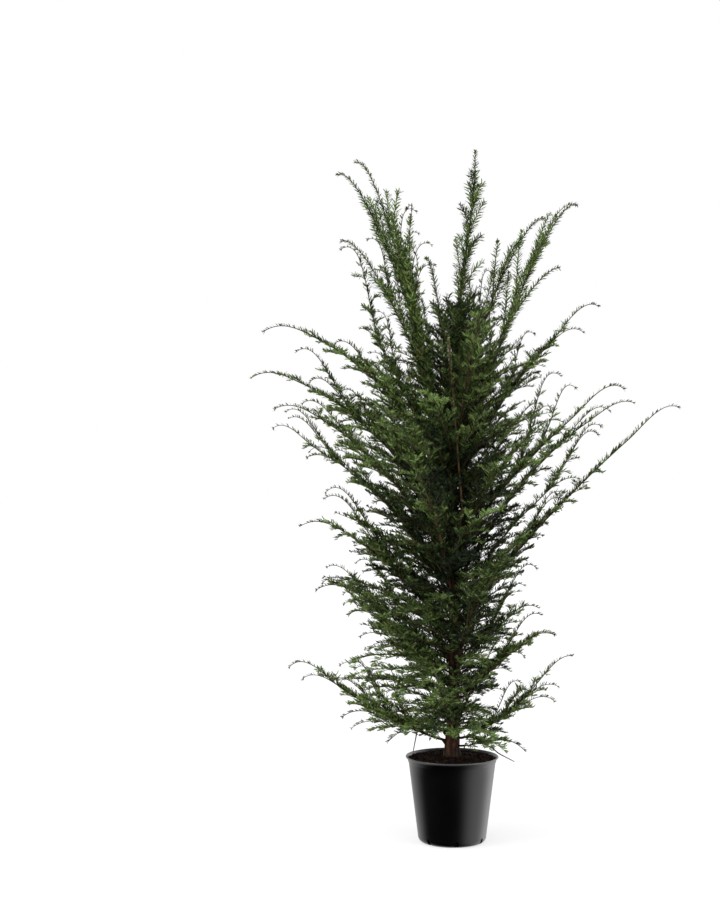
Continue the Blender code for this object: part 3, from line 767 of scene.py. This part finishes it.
# Meshes made from arrays

def new_object(name, data):
    piece = bpy.data.objects.new(name, data)
    bpy.context.scene.collection.objects.link(piece)
    return piece


def finished_object(name, work):
    """The object that a bmesh was worked on for."""
    mesh = bpy.data.meshes.new(name)
    work.to_mesh(mesh)
    work.free()
    return new_object(name, mesh)


def mesh_piece(name, places, corners, material, smooth=False):
    """A joined mesh of triangles, made from arrays of places and corners."""
    mesh = bpy.data.meshes.new(name)
    mesh.vertices.add(len(places))
    mesh.vertices.foreach_set("co", np.ascontiguousarray(places, dtype=np.float32).ravel())
    mesh.loops.add(corners.size)
    mesh.loops.foreach_set("vertex_index", np.ascontiguousarray(corners, dtype=np.int32).ravel())
    mesh.polygons.add(len(corners))
    mesh.polygons.foreach_set("loop_start", np.arange(0, corners.size, 3, dtype=np.int32))
    mesh.update(calc_edges=True)
    mesh.validate()
    mesh.polygons.foreach_set("use_smooth", np.full(len(mesh.polygons), smooth))
    mesh.materials.append(material)
    piece = new_object(name, mesh)
    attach(piece, "root")
    return piece


def ring_corners(rows, sides):
    """Triangles between rings of places that lie one after another."""
    start = np.arange(rows - 1)[:, None] * sides
    here = np.arange(sides)[None]
    after = (here + 1) % sides
    a, b = start + here, start + after
    c, d = a + sides, b + sides
    halves = [np.stack(half, -1).reshape(-1, 3) for half in ((a, b, d), (a, d, c))]
    return np.concatenate(halves)


def tube_arrays(points, radii, sides):
    """Places and corners of a tapering tube, its tip closed to a point."""
    ways = unit(np.gradient(points, axis=0))
    side, top = side_and_top(ways)
    ring = turned(side[:, None], top[:, None], np.arange(sides)[None] * math.tau / sides)
    places = (points[:, None] + ring * radii[:, None, None]).reshape(-1, 3)
    rim = (len(points) - 1) * sides + np.arange(sides)
    cap = np.stack([rim, np.roll(rim, -1), np.full(sides, len(places))], -1)
    places = np.concatenate([places, points[-1:] + ways[-1:] * radii[-1]])
    return places, np.concatenate([ring_corners(len(points), sides), cap])


def joined(parts):
    """Several (places, corners) as one."""
    offset, places, corners = 0, [], []
    for some_places, some_corners in parts:
        places.append(some_places)
        corners.append(some_corners + offset)
        offset += len(some_places)
    return np.concatenate(places), np.concatenate(corners)


# Needles

def needles_on(rng, shoot):
    """Roots, directions, facings, lengths, widths and shoot directions of one shoot's needles."""
    length = marks_of(shoot.points)[-1]
    spacing = NEEDLE_SPACING * (PLUME_CROWDING if shoot.spiral else 1)
    marks = np.arange(min(shoot.leafy, length), length, spacing)
    marks = marks + rng.uniform(-0.4, 0.4, len(marks)) * spacing
    marks = np.clip(marks, 0, length)
    arching = length > ARC_LENGTH and not shoot.spiral
    if arching:
        marks = marks[rng.random(len(marks)) < np.interp(length - marks, ARC_MARKS, ARC_SHARES)]
    places, ways = along_path(shoot.points, marks)
    side, top = side_and_top(ways)
    count = len(marks)
    spread = np.radians(rng.normal(shoot.spread, 8, count))
    lift = np.radians(rng.normal(shoot.lift, 16, count))
    if arching:
        lift = lift + np.radians(np.interp(length - marks, ARC_MARKS, ARC_LIFTS))
    roll = np.where(np.arange(count) % 2, lift, math.pi - lift)
    if shoot.spiral:
        roll = np.arange(count) * SPIRAL_ANGLE
    size = NEEDLE_LENGTH * shoot.needle * rng.uniform(0.78, 1.12, count)
    size = size * np.interp(marks / length, SHOOT_SHARES, SHOOT_SIZES)
    if length > ARC_LENGTH:
        size = size * np.interp(length - marks, ARC_MARKS, PLUME_SIZES if shoot.spiral else ARC_SIZES)
    direction = forking(ways, side, top, roll, spread)
    facing = unit(np.cross(np.cross(direction, ways + top * 0.4), direction))
    facing = turned(facing, np.cross(direction, facing), rng.normal(0, NEEDLE_TWIST, count))
    width = NEEDLE_WIDTH * rng.uniform(0.8, 1.15, count)
    return places, direction, facing, size, width, ways


def tuft_on(rng, shoot, count):
    """A bud's close needles at the end of a shoot, pointing forward."""
    way = unit(shoot.points[-1] - shoot.points[-2])[None]
    side, top = side_and_top(way)
    roll = rng.uniform(0, math.tau, count)
    spread = np.radians(rng.uniform(8, 75, count))
    direction = forking(way, side, top, roll, spread)
    places = shoot.points[-1:] - way * rng.uniform(0, 0.006, count)[:, None]
    facing = unit(np.cross(np.cross(direction, top), direction))
    size = rng.uniform(0.004, 0.009, count)
    return places, direction, facing, size, np.full(count, NEEDLE_WIDTH), np.repeat(way, count, 0)


def needle_arrays(roots, direction, facing, size, width, ways):
    """Strap-shaped needles with a pointed tip, each of four triangles, bent forward a little."""
    across = unit(np.cross(direction, facing)) * (width / 2)[:, None]
    reach = direction * size[:, None]
    bend = ways * (size * 0.10)[:, None]
    near = roots + reach * 0.18
    far = roots + reach * 0.74 + bend * 0.5
    tip = roots + reach + bend - facing * (size * 0.05)[:, None]
    places = [roots, near + across, near - across, far + across * 0.9, far - across * 0.9, tip]
    return repeated(places, [(0, 1, 2), (2, 1, 3), (2, 3, 4), (4, 3, 5)])


def plain_needle_arrays(roots, direction, facing, size, width, ways):
    """The simpler needles of the crown's dark inside, each of two triangles."""
    across = unit(np.cross(direction, facing)) * (width * 0.6)[:, None]
    middle = roots + direction * (size * 0.42)[:, None]
    tip = roots + direction * size[:, None] + ways * (size * 0.10)[:, None]
    return repeated([roots, middle + across, middle - across, tip], [(0, 1, 2), (2, 1, 3)])


def repeated(points, pattern):
    """Places and corners of many needles, each with the same points and pattern of triangles."""
    places = np.stack(points, 1)
    first = np.arange(len(places)) * len(points)
    corners = np.array(pattern)[None] + first[:, None, None]
    return places.reshape(-1, 3), corners.reshape(-1, 3)


def make_needles(shoots):
    """All needles, joined by tone into pieces that stand for the masses of foliage."""
    rng = np.random.default_rng(SEED)
    names = list(TONES)
    by_tone = {tone: [] for tone in TONES}
    for shoot in shoots:
        found = needles_on(rng, shoot)
        shift = rng.choice([-1, 0, 1], len(found[0]), p=TONE_CHANCES)
        tone = np.clip(names.index(shoot.tone) + shift, 0, len(names) - 1)
        for index in np.unique(tone):
            by_tone[names[index]].append([column[tone == index] for column in found])
        count = 8 if marks_of(shoot.points)[-1] > ARC_LENGTH else 4
        by_tone[shoot.tone].append(tuft_on(rng, shoot, count))
    masses = [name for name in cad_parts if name.startswith("foliage_")]
    for tone, batches in by_tone.items():
        columns = [np.concatenate(column) for column in zip(*batches)]
        material = needle_material("needles_" + tone, TONES[tone])
        plain = tone in PLAIN_TONES
        arrays = plain_needle_arrays if plain else needle_arrays
        total = len(columns[0])
        pieces = math.ceil(total / (PIECE_TRIANGLES // (2 if plain else 4)))
        for number, part in enumerate(np.array_split(np.arange(total), pieces)):
            places, corners = arrays(*[column[part] for column in columns])
            piece = mesh_piece(f"needles_{tone}_{number + 1}", places, corners, material)
            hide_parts(*masses)


# Bark and twigs

def bark_noise(x, y, z, scale):
    """A noise stretched upward, by its scales across and along the trunk."""
    across, along = scale
    return noise.noise(Vector((x * across, y * across, z * along)))


def bark_relief(x, y, z):
    """Depth of the bark at a place: tall flaking plates over a fine grain."""
    edge = min(max((bark_noise(x, y, z, PLATE_SCALE) + 0.12) * 7, 0), 1)
    return PLATE_DEPTH * (edge - 0.6 + 0.35 * bark_noise(x, y, z, GRAIN_SCALE))


def barked_arrays(points, radii, sides, depth, ribs=0.0):
    """A tapering limb with the bark's relief pressed into it, and ribs round the trunk's foot."""
    places, corners = tube_arrays(points, radii, sides)
    rings = places[:-1]
    outward = unit(rings - np.repeat(points, sides, 0))
    relief = np.array([bark_relief(*place) for place in rings]) * depth
    if ribs:
        angle = np.arctan2(outward[:, 1], outward[:, 0])
        fade = np.exp(-(rings[:, 2] - SOIL_TOP) / RIB_HEIGHT)
        relief = relief + ribs * fade * (np.sin(angle * 5 + 1) + 0.5 * np.sin(angle * 3))
    places[:-1] = rings + outward * relief[:, None]
    return places, corners


def stub_arrays(number):
    """A short dead stub on the trunk, left where an old twig broke off."""
    z = SOIL_TOP + 0.012 + STUB_RISE * number / STUB_COUNT
    angle = number * SPIRAL_ANGLE + 2.6
    way = unit(np.array([math.cos(angle), math.sin(angle), 0.9]))
    points = trunk_centre(z) + way * np.linspace(*STUB_REACH, 9)[:, None]
    return barked_arrays(points, np.linspace(*STUB_RADII, 9), 14, 0.5)


def make_trunk(material):
    heights = np.arange(SOIL_TOP - 0.006, TRUNK_TIP_Z, BARK_STEP)
    points = np.array([trunk_centre(z) for z in heights])
    radii = np.array([trunk_radius(max(z, TRUNK_FOOT_Z)) for z in heights])
    parts = [barked_arrays(points, radii, TRUNK_SIDES, 1.0, RIB_DEPTH)]
    parts += [stub_arrays(number) for number in range(STUB_COUNT)]
    piece = mesh_piece("trunk_bark", *joined(parts), material, smooth=True)
    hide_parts("trunk")


def make_cane(path, material):
    """The one bare cane that rises pale in front of the crown's dark middle."""
    points = along_path(path, np.arange(0, marks_of(path)[-1], BOUGH_STEP))[0]
    radii = np.linspace(*CANE_RADII, len(points))
    piece = mesh_piece("pale_cane", *barked_arrays(points, radii, 12, 0.25), material, smooth=True)
    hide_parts("bough_front_cane")


def make_boughs(shoots, material, cane_material):
    """The older wood of every limb, with bark. Returns the limbs' younger ends, as plain stems."""
    limbs = [shoot for shoot in shoots if shoot.rank == 0]
    barked, green = [], []
    for limb, shoot in zip(LIMBS + [LEADER], limbs):
        if limb.name == "front_cane":
            make_cane(shoot.points, cane_material)
            continue
        length = marks_of(shoot.points)[-1]
        old = length * OLD_WOOD
        marks = np.arange(0, old, BOUGH_STEP)
        points = along_path(shoot.points, marks)[0]
        points[0] -= unit(points[1] - points[0]) * 0.004
        barked.append(barked_arrays(points, limb_radii(limb, length, marks), 14, 0.4))
        marks = np.linspace(old - BOUGH_STEP, length, 24)
        points = along_path(shoot.points, marks)[0]
        green.append(tube_arrays(points, limb_radii(limb, length, marks), 6))
    piece = mesh_piece("bough_bark", *joined(barked), material, smooth=True)
    boughs = [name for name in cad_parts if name.startswith("bough_")]
    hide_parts(*[name for name in boughs if name != "bough_front_cane"])
    return green


def make_twigs(shoots, green, brown_material, green_material):
    """The twigs, brown, and the sprigs with the limbs' younger ends, green."""
    brown = [tube_arrays(shoot.points, shoot.radii, 4) for shoot in shoots if shoot.rank == 1]
    green = green + [tube_arrays(shoot.points, shoot.radii, 3) for shoot in shoots if shoot.rank == 2]
    for name, parts, material in (
        ("twigs_brown", brown, brown_material),
        ("twigs_green", green, green_material),
    ):
        piece = mesh_piece(name, *joined(parts), material, smooth=True)


# Pot and soil

def pot_wall_radius(z):
    share = (z - POT_CORNER) / (POT_HEIGHT - POT_CORNER)
    return POT_FOOT_RADIUS + (POT_TOP_RADIUS - POT_FOOT_RADIUS) * share


def arc(centre, radius, first, last, steps):
    """Points of a round corner in a profile, from one angle to another in degrees."""
    angles = np.radians(np.linspace(first, last, steps))
    return [(centre[0] + radius * math.cos(a), centre[1] + radius * math.sin(a)) for a in angles]


def beside_wall(height, offsets):
    """Points of the profile near the wall at a height, as offsets outward and upward."""
    return [(pot_wall_radius(height) + out, height + up) for out, up in offsets]


def pot_profile():
    """(radius, height) from the middle of the underside, up the outside, over the lip and down inside."""
    band = POT_HEIGHT - POT_BAND
    foot = POT_FOOT_RADIUS - POT_CORNER
    profile = [(0.0, 0.0)] + arc((foot, POT_CORNER), POT_CORNER, -90, 0, 10)
    profile += [(pot_wall_radius(z), z) for z in np.linspace(POT_CORNER + 0.008, band - 0.003, 8)]
    profile += beside_wall(band, BAND_OFFSETS) + beside_wall(POT_HEIGHT, NECK_OFFSETS)
    profile += arc((POT_RIM_RADIUS - LIP_RADIUS, POT_HEIGHT - LIP_RADIUS), LIP_RADIUS, -70, 130, 10)
    profile += beside_wall(POT_HEIGHT, INNER_OFFSETS)
    profile += [(pot_wall_radius(z) - POT_WALL, z) for z in (0.15, 0.08, POT_CORNER + 0.004)]
    return profile + [(foot, POT_FLOOR), (0.0, POT_FLOOR)]


def make_slot_cutter():
    """Blocks with rounded upper edges round the foot's corner, one for each drain slot."""
    work = bmesh.new()
    for index in range(SLOT_COUNT):
        block = bmesh.ops.create_cube(work, size=1)["verts"]
        bmesh.ops.scale(work, vec=(SLOT_DEPTH, SLOT_WIDTH, 2 * SLOT_HEIGHT), verts=block)
        bmesh.ops.translate(work, vec=(POT_FOOT_RADIUS, 0, 0), verts=block)
        turn = Matrix.Rotation(SLOT_FIRST_ANGLE + index * math.tau / SLOT_COUNT, 3, "Z")
        bmesh.ops.rotate(work, cent=(0, 0, 0), verts=block, matrix=turn)
    tall = [edge for edge in work.edges if min(vert.co.z for vert in edge.verts) > 0]
    bmesh.ops.bevel(work, geom=tall, offset=SLOT_ROUND, segments=3, affect="EDGES", clamp_overlap=True)
    return finished_object("slot_cutter", work)


def make_pot(material):
    """The pot turned finely about its axis, with rounded drain slots cut through its foot."""
    work = bmesh.new()
    verts = [work.verts.new((r, 0, z)) for r, z in pot_profile()]
    edges = [work.edges.new(pair) for pair in zip(verts, verts[1:])]
    bmesh.ops.spin(
        work, geom=verts + edges, cent=(0, 0, 0), axis=(0, 0, 1), angle=math.tau,
        steps=POT_SIDES, use_merge=True,
    )
    bmesh.ops.remove_doubles(work, verts=work.verts, dist=1e-5)
    bmesh.ops.recalc_face_normals(work, faces=work.faces)
    pot = finished_object("nursery_pot", work)
    cutter = make_slot_cutter()
    cut = pot.modifiers.new("drain_slots", "BOOLEAN")
    cut.operation = "DIFFERENCE"
    cut.object = cutter
    bpy.context.view_layer.update()
    graph = bpy.context.evaluated_depsgraph_get()
    finished = bpy.data.meshes.new_from_object(pot.evaluated_get(graph))
    pot.modifiers.clear()
    pot.data = finished
    bpy.data.objects.remove(cutter)
    finished.shade_smooth()
    finished.set_sharp_from_angle(angle=POT_CREASE)
    finished.materials.clear()
    finished.materials.append(material)
    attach(pot, "root")
    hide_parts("pot")


def soil_height(x, y):
    """Height of the potting mix: a low mound at the trunk with clods in it."""
    height = SOIL_TOP - SOIL_DROP + SOIL_DROP * max(0, 1 - math.hypot(x, y) / MOUND_RADIUS)
    for scale, layer, rise in SOIL_ROUGHNESS:
        height += noise.noise(Vector((x * scale, y * scale, layer))) * rise
    return height


def make_soil(material):
    """The root ball: a rough top, and the pot's own shape down to its floor."""
    angles = np.arange(SOIL_SIDES) * math.tau / SOIL_SIDES
    ring = np.stack([np.cos(angles), np.sin(angles)], -1)
    rows = []
    for radius in np.linspace(0.004, SOIL_RADIUS, 60):
        rows.append([(x, y, soil_height(x, y)) for x, y in ring * radius])
    for z in (0.18, 0.10, 0.02):
        radius = min(pot_wall_radius(z) - POT_WALL - SOIL_CLEARANCE, SOIL_RADIUS)
        rows.append([(x, y, z) for x, y in ring * radius])
    floor = POT_FLOOR + SOIL_CLEARANCE
    rows.append([(x, y, floor) for x, y in ring * (POT_FOOT_RADIUS - POT_CORNER)])
    corners = ring_corners(len(rows), SOIL_SIDES)[:, ::-1]
    piece = mesh_piece("potting_mix", np.concatenate(rows), corners, material, smooth=True)
    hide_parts("soil")


def scattered_blocks(rng, count, sizes, flatness):
    """Rough little blocks lying on the soil, none inside the trunk."""
    cube = np.array([(x, y, z) for x in (-1, 1) for y in (-1, 1) for z in (-1, 1)]) / 2
    faces = np.array([
        (0, 1, 3), (0, 3, 2), (4, 6, 7), (4, 7, 5), (0, 4, 5), (0, 5, 1),
        (2, 3, 7), (2, 7, 6), (0, 2, 6), (0, 6, 4), (1, 5, 7), (1, 7, 3),
    ])
    inner, outer = LITTER_RADII
    parts = []
    for _ in range(count):
        radius = math.sqrt(rng.uniform(inner**2, outer**2))
        angle = rng.uniform(0, math.tau)
        x, y = radius * math.cos(angle), radius * math.sin(angle)
        size = rng.uniform(*sizes)
        shape = cube * np.array([size, size * rng.uniform(0.35, 0.7), size * flatness])
        shape = shape * rng.uniform(0.6, 1.2, shape.shape)
        turn = Matrix.Rotation(rng.uniform(0, math.tau), 3, "Z")
        tilt = Matrix.Rotation(rng.normal(0, 0.35), 3, "X")
        shape = shape @ np.array(turn @ tilt).T
        parts.append((shape + (x, y, soil_height(x, y) + size * flatness * 0.3), faces))
    return joined(parts)


def make_litter(chip_material, crumb_material):
    """Bark chips and crumbs of potting mix on the soil."""
    rng = np.random.default_rng(SEED + 500)
    chip_arrays = scattered_blocks(rng, CHIP_COUNT, CHIP_SIZES, CHIP_FLATNESS)
    crumb_arrays = scattered_blocks(rng, CRUMB_COUNT, CRUMB_SIZES, CRUMB_FLATNESS)
    chips = mesh_piece("bark_chips", *chip_arrays, chip_material)
    crumbs = mesh_piece("soil_crumbs", *crumb_arrays, crumb_material)


# Materials

def feed(tree, node, values):
    """Set values on a node's sockets, or link them there where they are other nodes' outputs."""
    for socket, value in values.items():
        if isinstance(value, bpy.types.NodeSocket):
            tree.links.new(value, node.inputs[socket])
        else:
            node.inputs[socket].default_value = value


def new_node(tree, kind, output, values):
    """One output of a new shader node that is fed these values."""
    node = tree.nodes.new("ShaderNode" + kind)
    feed(tree, node, values)
    return node.outputs[output]


def new_material(name):
    material = bpy.data.materials.new(name)
    material.use_nodes = True
    return material, material.node_tree, material.node_tree.nodes["Principled BSDF"]


def noise_value(tree, scale, detail, stretch=(1, 1, 1)):
    """A noise in the object's own metres, stretched along an axis where asked."""
    place = new_node(tree, "TexCoord", "Object", {})
    place = new_node(tree, "Mapping", "Vector", {"Vector": place, "Scale": stretch})
    return new_node(tree, "TexNoise", "Fac", {"Vector": place, "Scale": scale, "Detail": detail})


def ramp_colour(tree, value, stops):
    """Colours along a value, as (position, linear colour)."""
    ramp = new_node(tree, "ValToRGB", "Color", {"Fac": value})
    elements = ramp.node.color_ramp.elements
    while len(elements) < len(stops):
        elements.new(0.5)
    for element, (position, colour) in zip(elements, stops):
        element.position = position
        element.color = (*colour, 1)
    return ramp


def value_between(tree, value, low, high):
    """The value, from 0 to 1, brought between low and high."""
    return new_node(tree, "MapRange", "Result", {"Value": value, "To Min": low, "To Max": high})


def bump(tree, height, strength, distance):
    values = {"Height": height, "Strength": strength, "Distance": distance}
    return new_node(tree, "Bump", "Normal", values)


def natural_material(name, specular, colour_noise, stops, wear_noise, roughness, relief):
    """A material whose colour follows one noise, and whose roughness and bump follow another."""
    material, tree, shader = new_material(name)
    wear = noise_value(tree, *wear_noise)
    feed(tree, shader, {
        "Specular IOR Level": specular,
        "Base Color": ramp_colour(tree, noise_value(tree, *colour_noise), stops),
        "Roughness": value_between(tree, wear, *roughness),
        "Normal": bump(tree, wear, *relief),
    })
    return material


def needle_material(name, colour):
    """Waxy needles, darker or warmer from patch to patch."""
    dark = tuple(part * 0.50 for part in colour)
    warm = (colour[0] * 1.75, colour[1] * 1.45, colour[2] * 1.1)
    stops = [(0.34, dark), (0.50, colour), (0.66, warm)]
    return natural_material(name, 0.16, (120, 3), stops, (240, 2), (0.42, 0.62), (0.25, 0.0003))


def bark_material(name, dark, light, red):
    """Flaking bark: brown plates with redder new bark between them."""
    stops = [(0.30, dark), (0.50, light), (0.66, red)]
    plates, grain = (95, 5, (1, 1, 0.4)), (420, 3, (1, 1, 0.25))
    return natural_material(name, 0.25, plates, stops, grain, (0.70, 0.95), (0.5, 0.0008))


def soil_material(name, dark, light, scale):
    clods = (scale, 6)
    stops = [(0.35, dark), (0.65, light)]
    return natural_material(name, 0.12, clods, stops, clods, (0.86, 1.0), (0.7, 0.0015))


def pot_material():
    """Black moulded plastic, satin, with a faint grain and dull patches, and a painted highlight: the
    lip's top is lighter.
    """
    material, tree, shader = new_material("black_plastic")
    dust = noise_value(tree, 9, 5, (1, 1, 0.5))
    place = new_node(tree, "TexCoord", "Object", {})
    height = new_node(tree, "SeparateXYZ", "Z", {"Vector": place})
    # Painted highlight: the lip's top is made lighter than the rest of the plastic
    lip_highlight_stops = [(POT_HEIGHT - LIP_HIGHLIGHT_BAND, (0, 0, 0)), (POT_HEIGHT, LIP_HIGHLIGHT_COLOUR)]
    colour = new_node(tree, "MixRGB", "Color", {
        "Fac": 1.0,
        "Color1": ramp_colour(tree, dust, PLASTIC_STOPS),
        "Color2": ramp_colour(tree, height, lip_highlight_stops),
    })
    colour.node.blend_type = "ADD"
    feed(tree, shader, {
        "Specular IOR Level": 0.6,
        "Base Color": colour,
        "Roughness": value_between(tree, dust, 0.24, 0.36),
        "Normal": bump(tree, noise_value(tree, 900, 2), 0.12, 0.0003),
    })
    return material


# Studio

def make_floor():
    """A pale floor, a little bright of itself, so that it runs into the white behind it."""
    bpy.ops.mesh.primitive_plane_add(size=60, location=(0, 0, -0.0002))
    floor = bpy.context.object
    floor.name = "floor"
    material, tree, shader = new_material("pale_floor")
    feed(tree, shader, {
        "Specular IOR Level": 0.0,
        "Roughness": 0.9,
        "Base Color": (0.45, 0.45, 0.45, 1),
        "Emission Color": (1, 1, 1, 1),
        "Emission Strength": FLOOR_GLOW,
    })
    floor.data.materials.append(material)
    floor.visible_glossy = False


def white_light(tree, strength):
    values = {"Color": (1, 1, 1, 1), "Strength": strength}
    return new_node(tree, "Background", "Background", values)


def panel_light(tree, side, low, high, strength):
    """A soft panel of light on one side of the room, for reflections."""
    values = {"Value": side, "From Min": low, "From Max": high, "To Max": strength}
    panel = new_node(tree, "MapRange", "Result", values)
    panel.node.interpolation_type = "SMOOTHSTEP"
    return panel


def make_world():
    """A room that is white where it is looked at and softer as a light. Reflections see it white
    behind the plant, with a panel on the right, and dark in front."""
    world = bpy.data.worlds.new("studio")
    bpy.context.scene.world = world
    world.use_nodes = True
    tree = world.node_tree
    place = new_node(tree, "TexCoord", "Generated", {})
    across = new_node(tree, "SeparateXYZ", "X", {"Vector": place})
    panels = new_node(tree, "Math", "Value", {
        0: panel_light(tree, across.node.outputs["Y"], 0.0, 0.6, BACK_PANEL),
        1: panel_light(tree, across, 0.30, 0.9, RIGHT_PANEL),
    })
    panels.node.operation = "ADD"
    glossy = new_node(tree, "LightPath", "Is Glossy Ray", {})
    looked_at = glossy.node.outputs["Is Camera Ray"]
    room, reflected, white = (white_light(tree, value) for value in (ROOM_LIGHT, panels, 1.0))
    lit = new_node(tree, "MixShader", "Shader", {"Fac": glossy, 1: room, 2: reflected})
    seen = new_node(tree, "MixShader", "Shader", {"Fac": looked_at, 1: lit, 2: white})
    tree.links.new(seen, tree.nodes["World Output"].inputs["Surface"])


def make_light(name, place, target, size, power):
    data = bpy.data.lights.new(name, "AREA")
    data.shape = "RECTANGLE"
    data.size, data.size_y = size
    data.energy = power
    light = new_object(name, data)
    light.location = place
    light.rotation_euler = (Vector(target) - Vector(place)).to_track_quat("-Z", "Y").to_euler()
    light.visible_camera = False


def make_lights():
    make_light("right_light", (2.6, -1.6, 1.2), (0, 0, 0.6), (1.6, 2.4), 30)
    make_light("left_light", (-2.6, -1.3, 1.4), (0, 0, 0.6), (1.4, 2.4), 25)
    data = bpy.data.lights.new("soft_sun", "SUN")
    data.energy = 1.5
    data.angle = math.radians(100)
    sun = new_object("soft_sun", data)
    sun.rotation_euler = Vector((0.45, 0.62, -1.0)).to_track_quat("-Z", "Y").to_euler()


def make_camera():
    data = bpy.data.cameras.new("camera")
    data.lens = CAMERA_LENS
    camera = new_object("camera", data)
    camera.location = CAMERA_PLACE
    camera.rotation_euler = (math.radians(90), 0, 0)
    bpy.context.scene.camera = camera


def main():
    bpy.context.scene.view_settings.view_transform = "Standard"
    make_camera()
    make_world()
    make_lights()
    make_floor()
    barks = {name: bark_material(name, *colours) for name, colours in BARKS.items()}
    soils = {name: soil_material(name, *colours) for name, colours in SOILS.items()}
    make_pot(pot_material())
    make_soil(soils["potting_mix"])
    make_litter(soils["bark_chip"], soils["crumb"])
    shoots = grow_crown()
    make_trunk(barks["yew_bark"])
    green = make_boughs(shoots, barks["yew_bark"], barks["cane_bark"])
    make_twigs(shoots, green, barks["twig_bark"], barks["green_stem"])
    make_needles(shoots)


main()
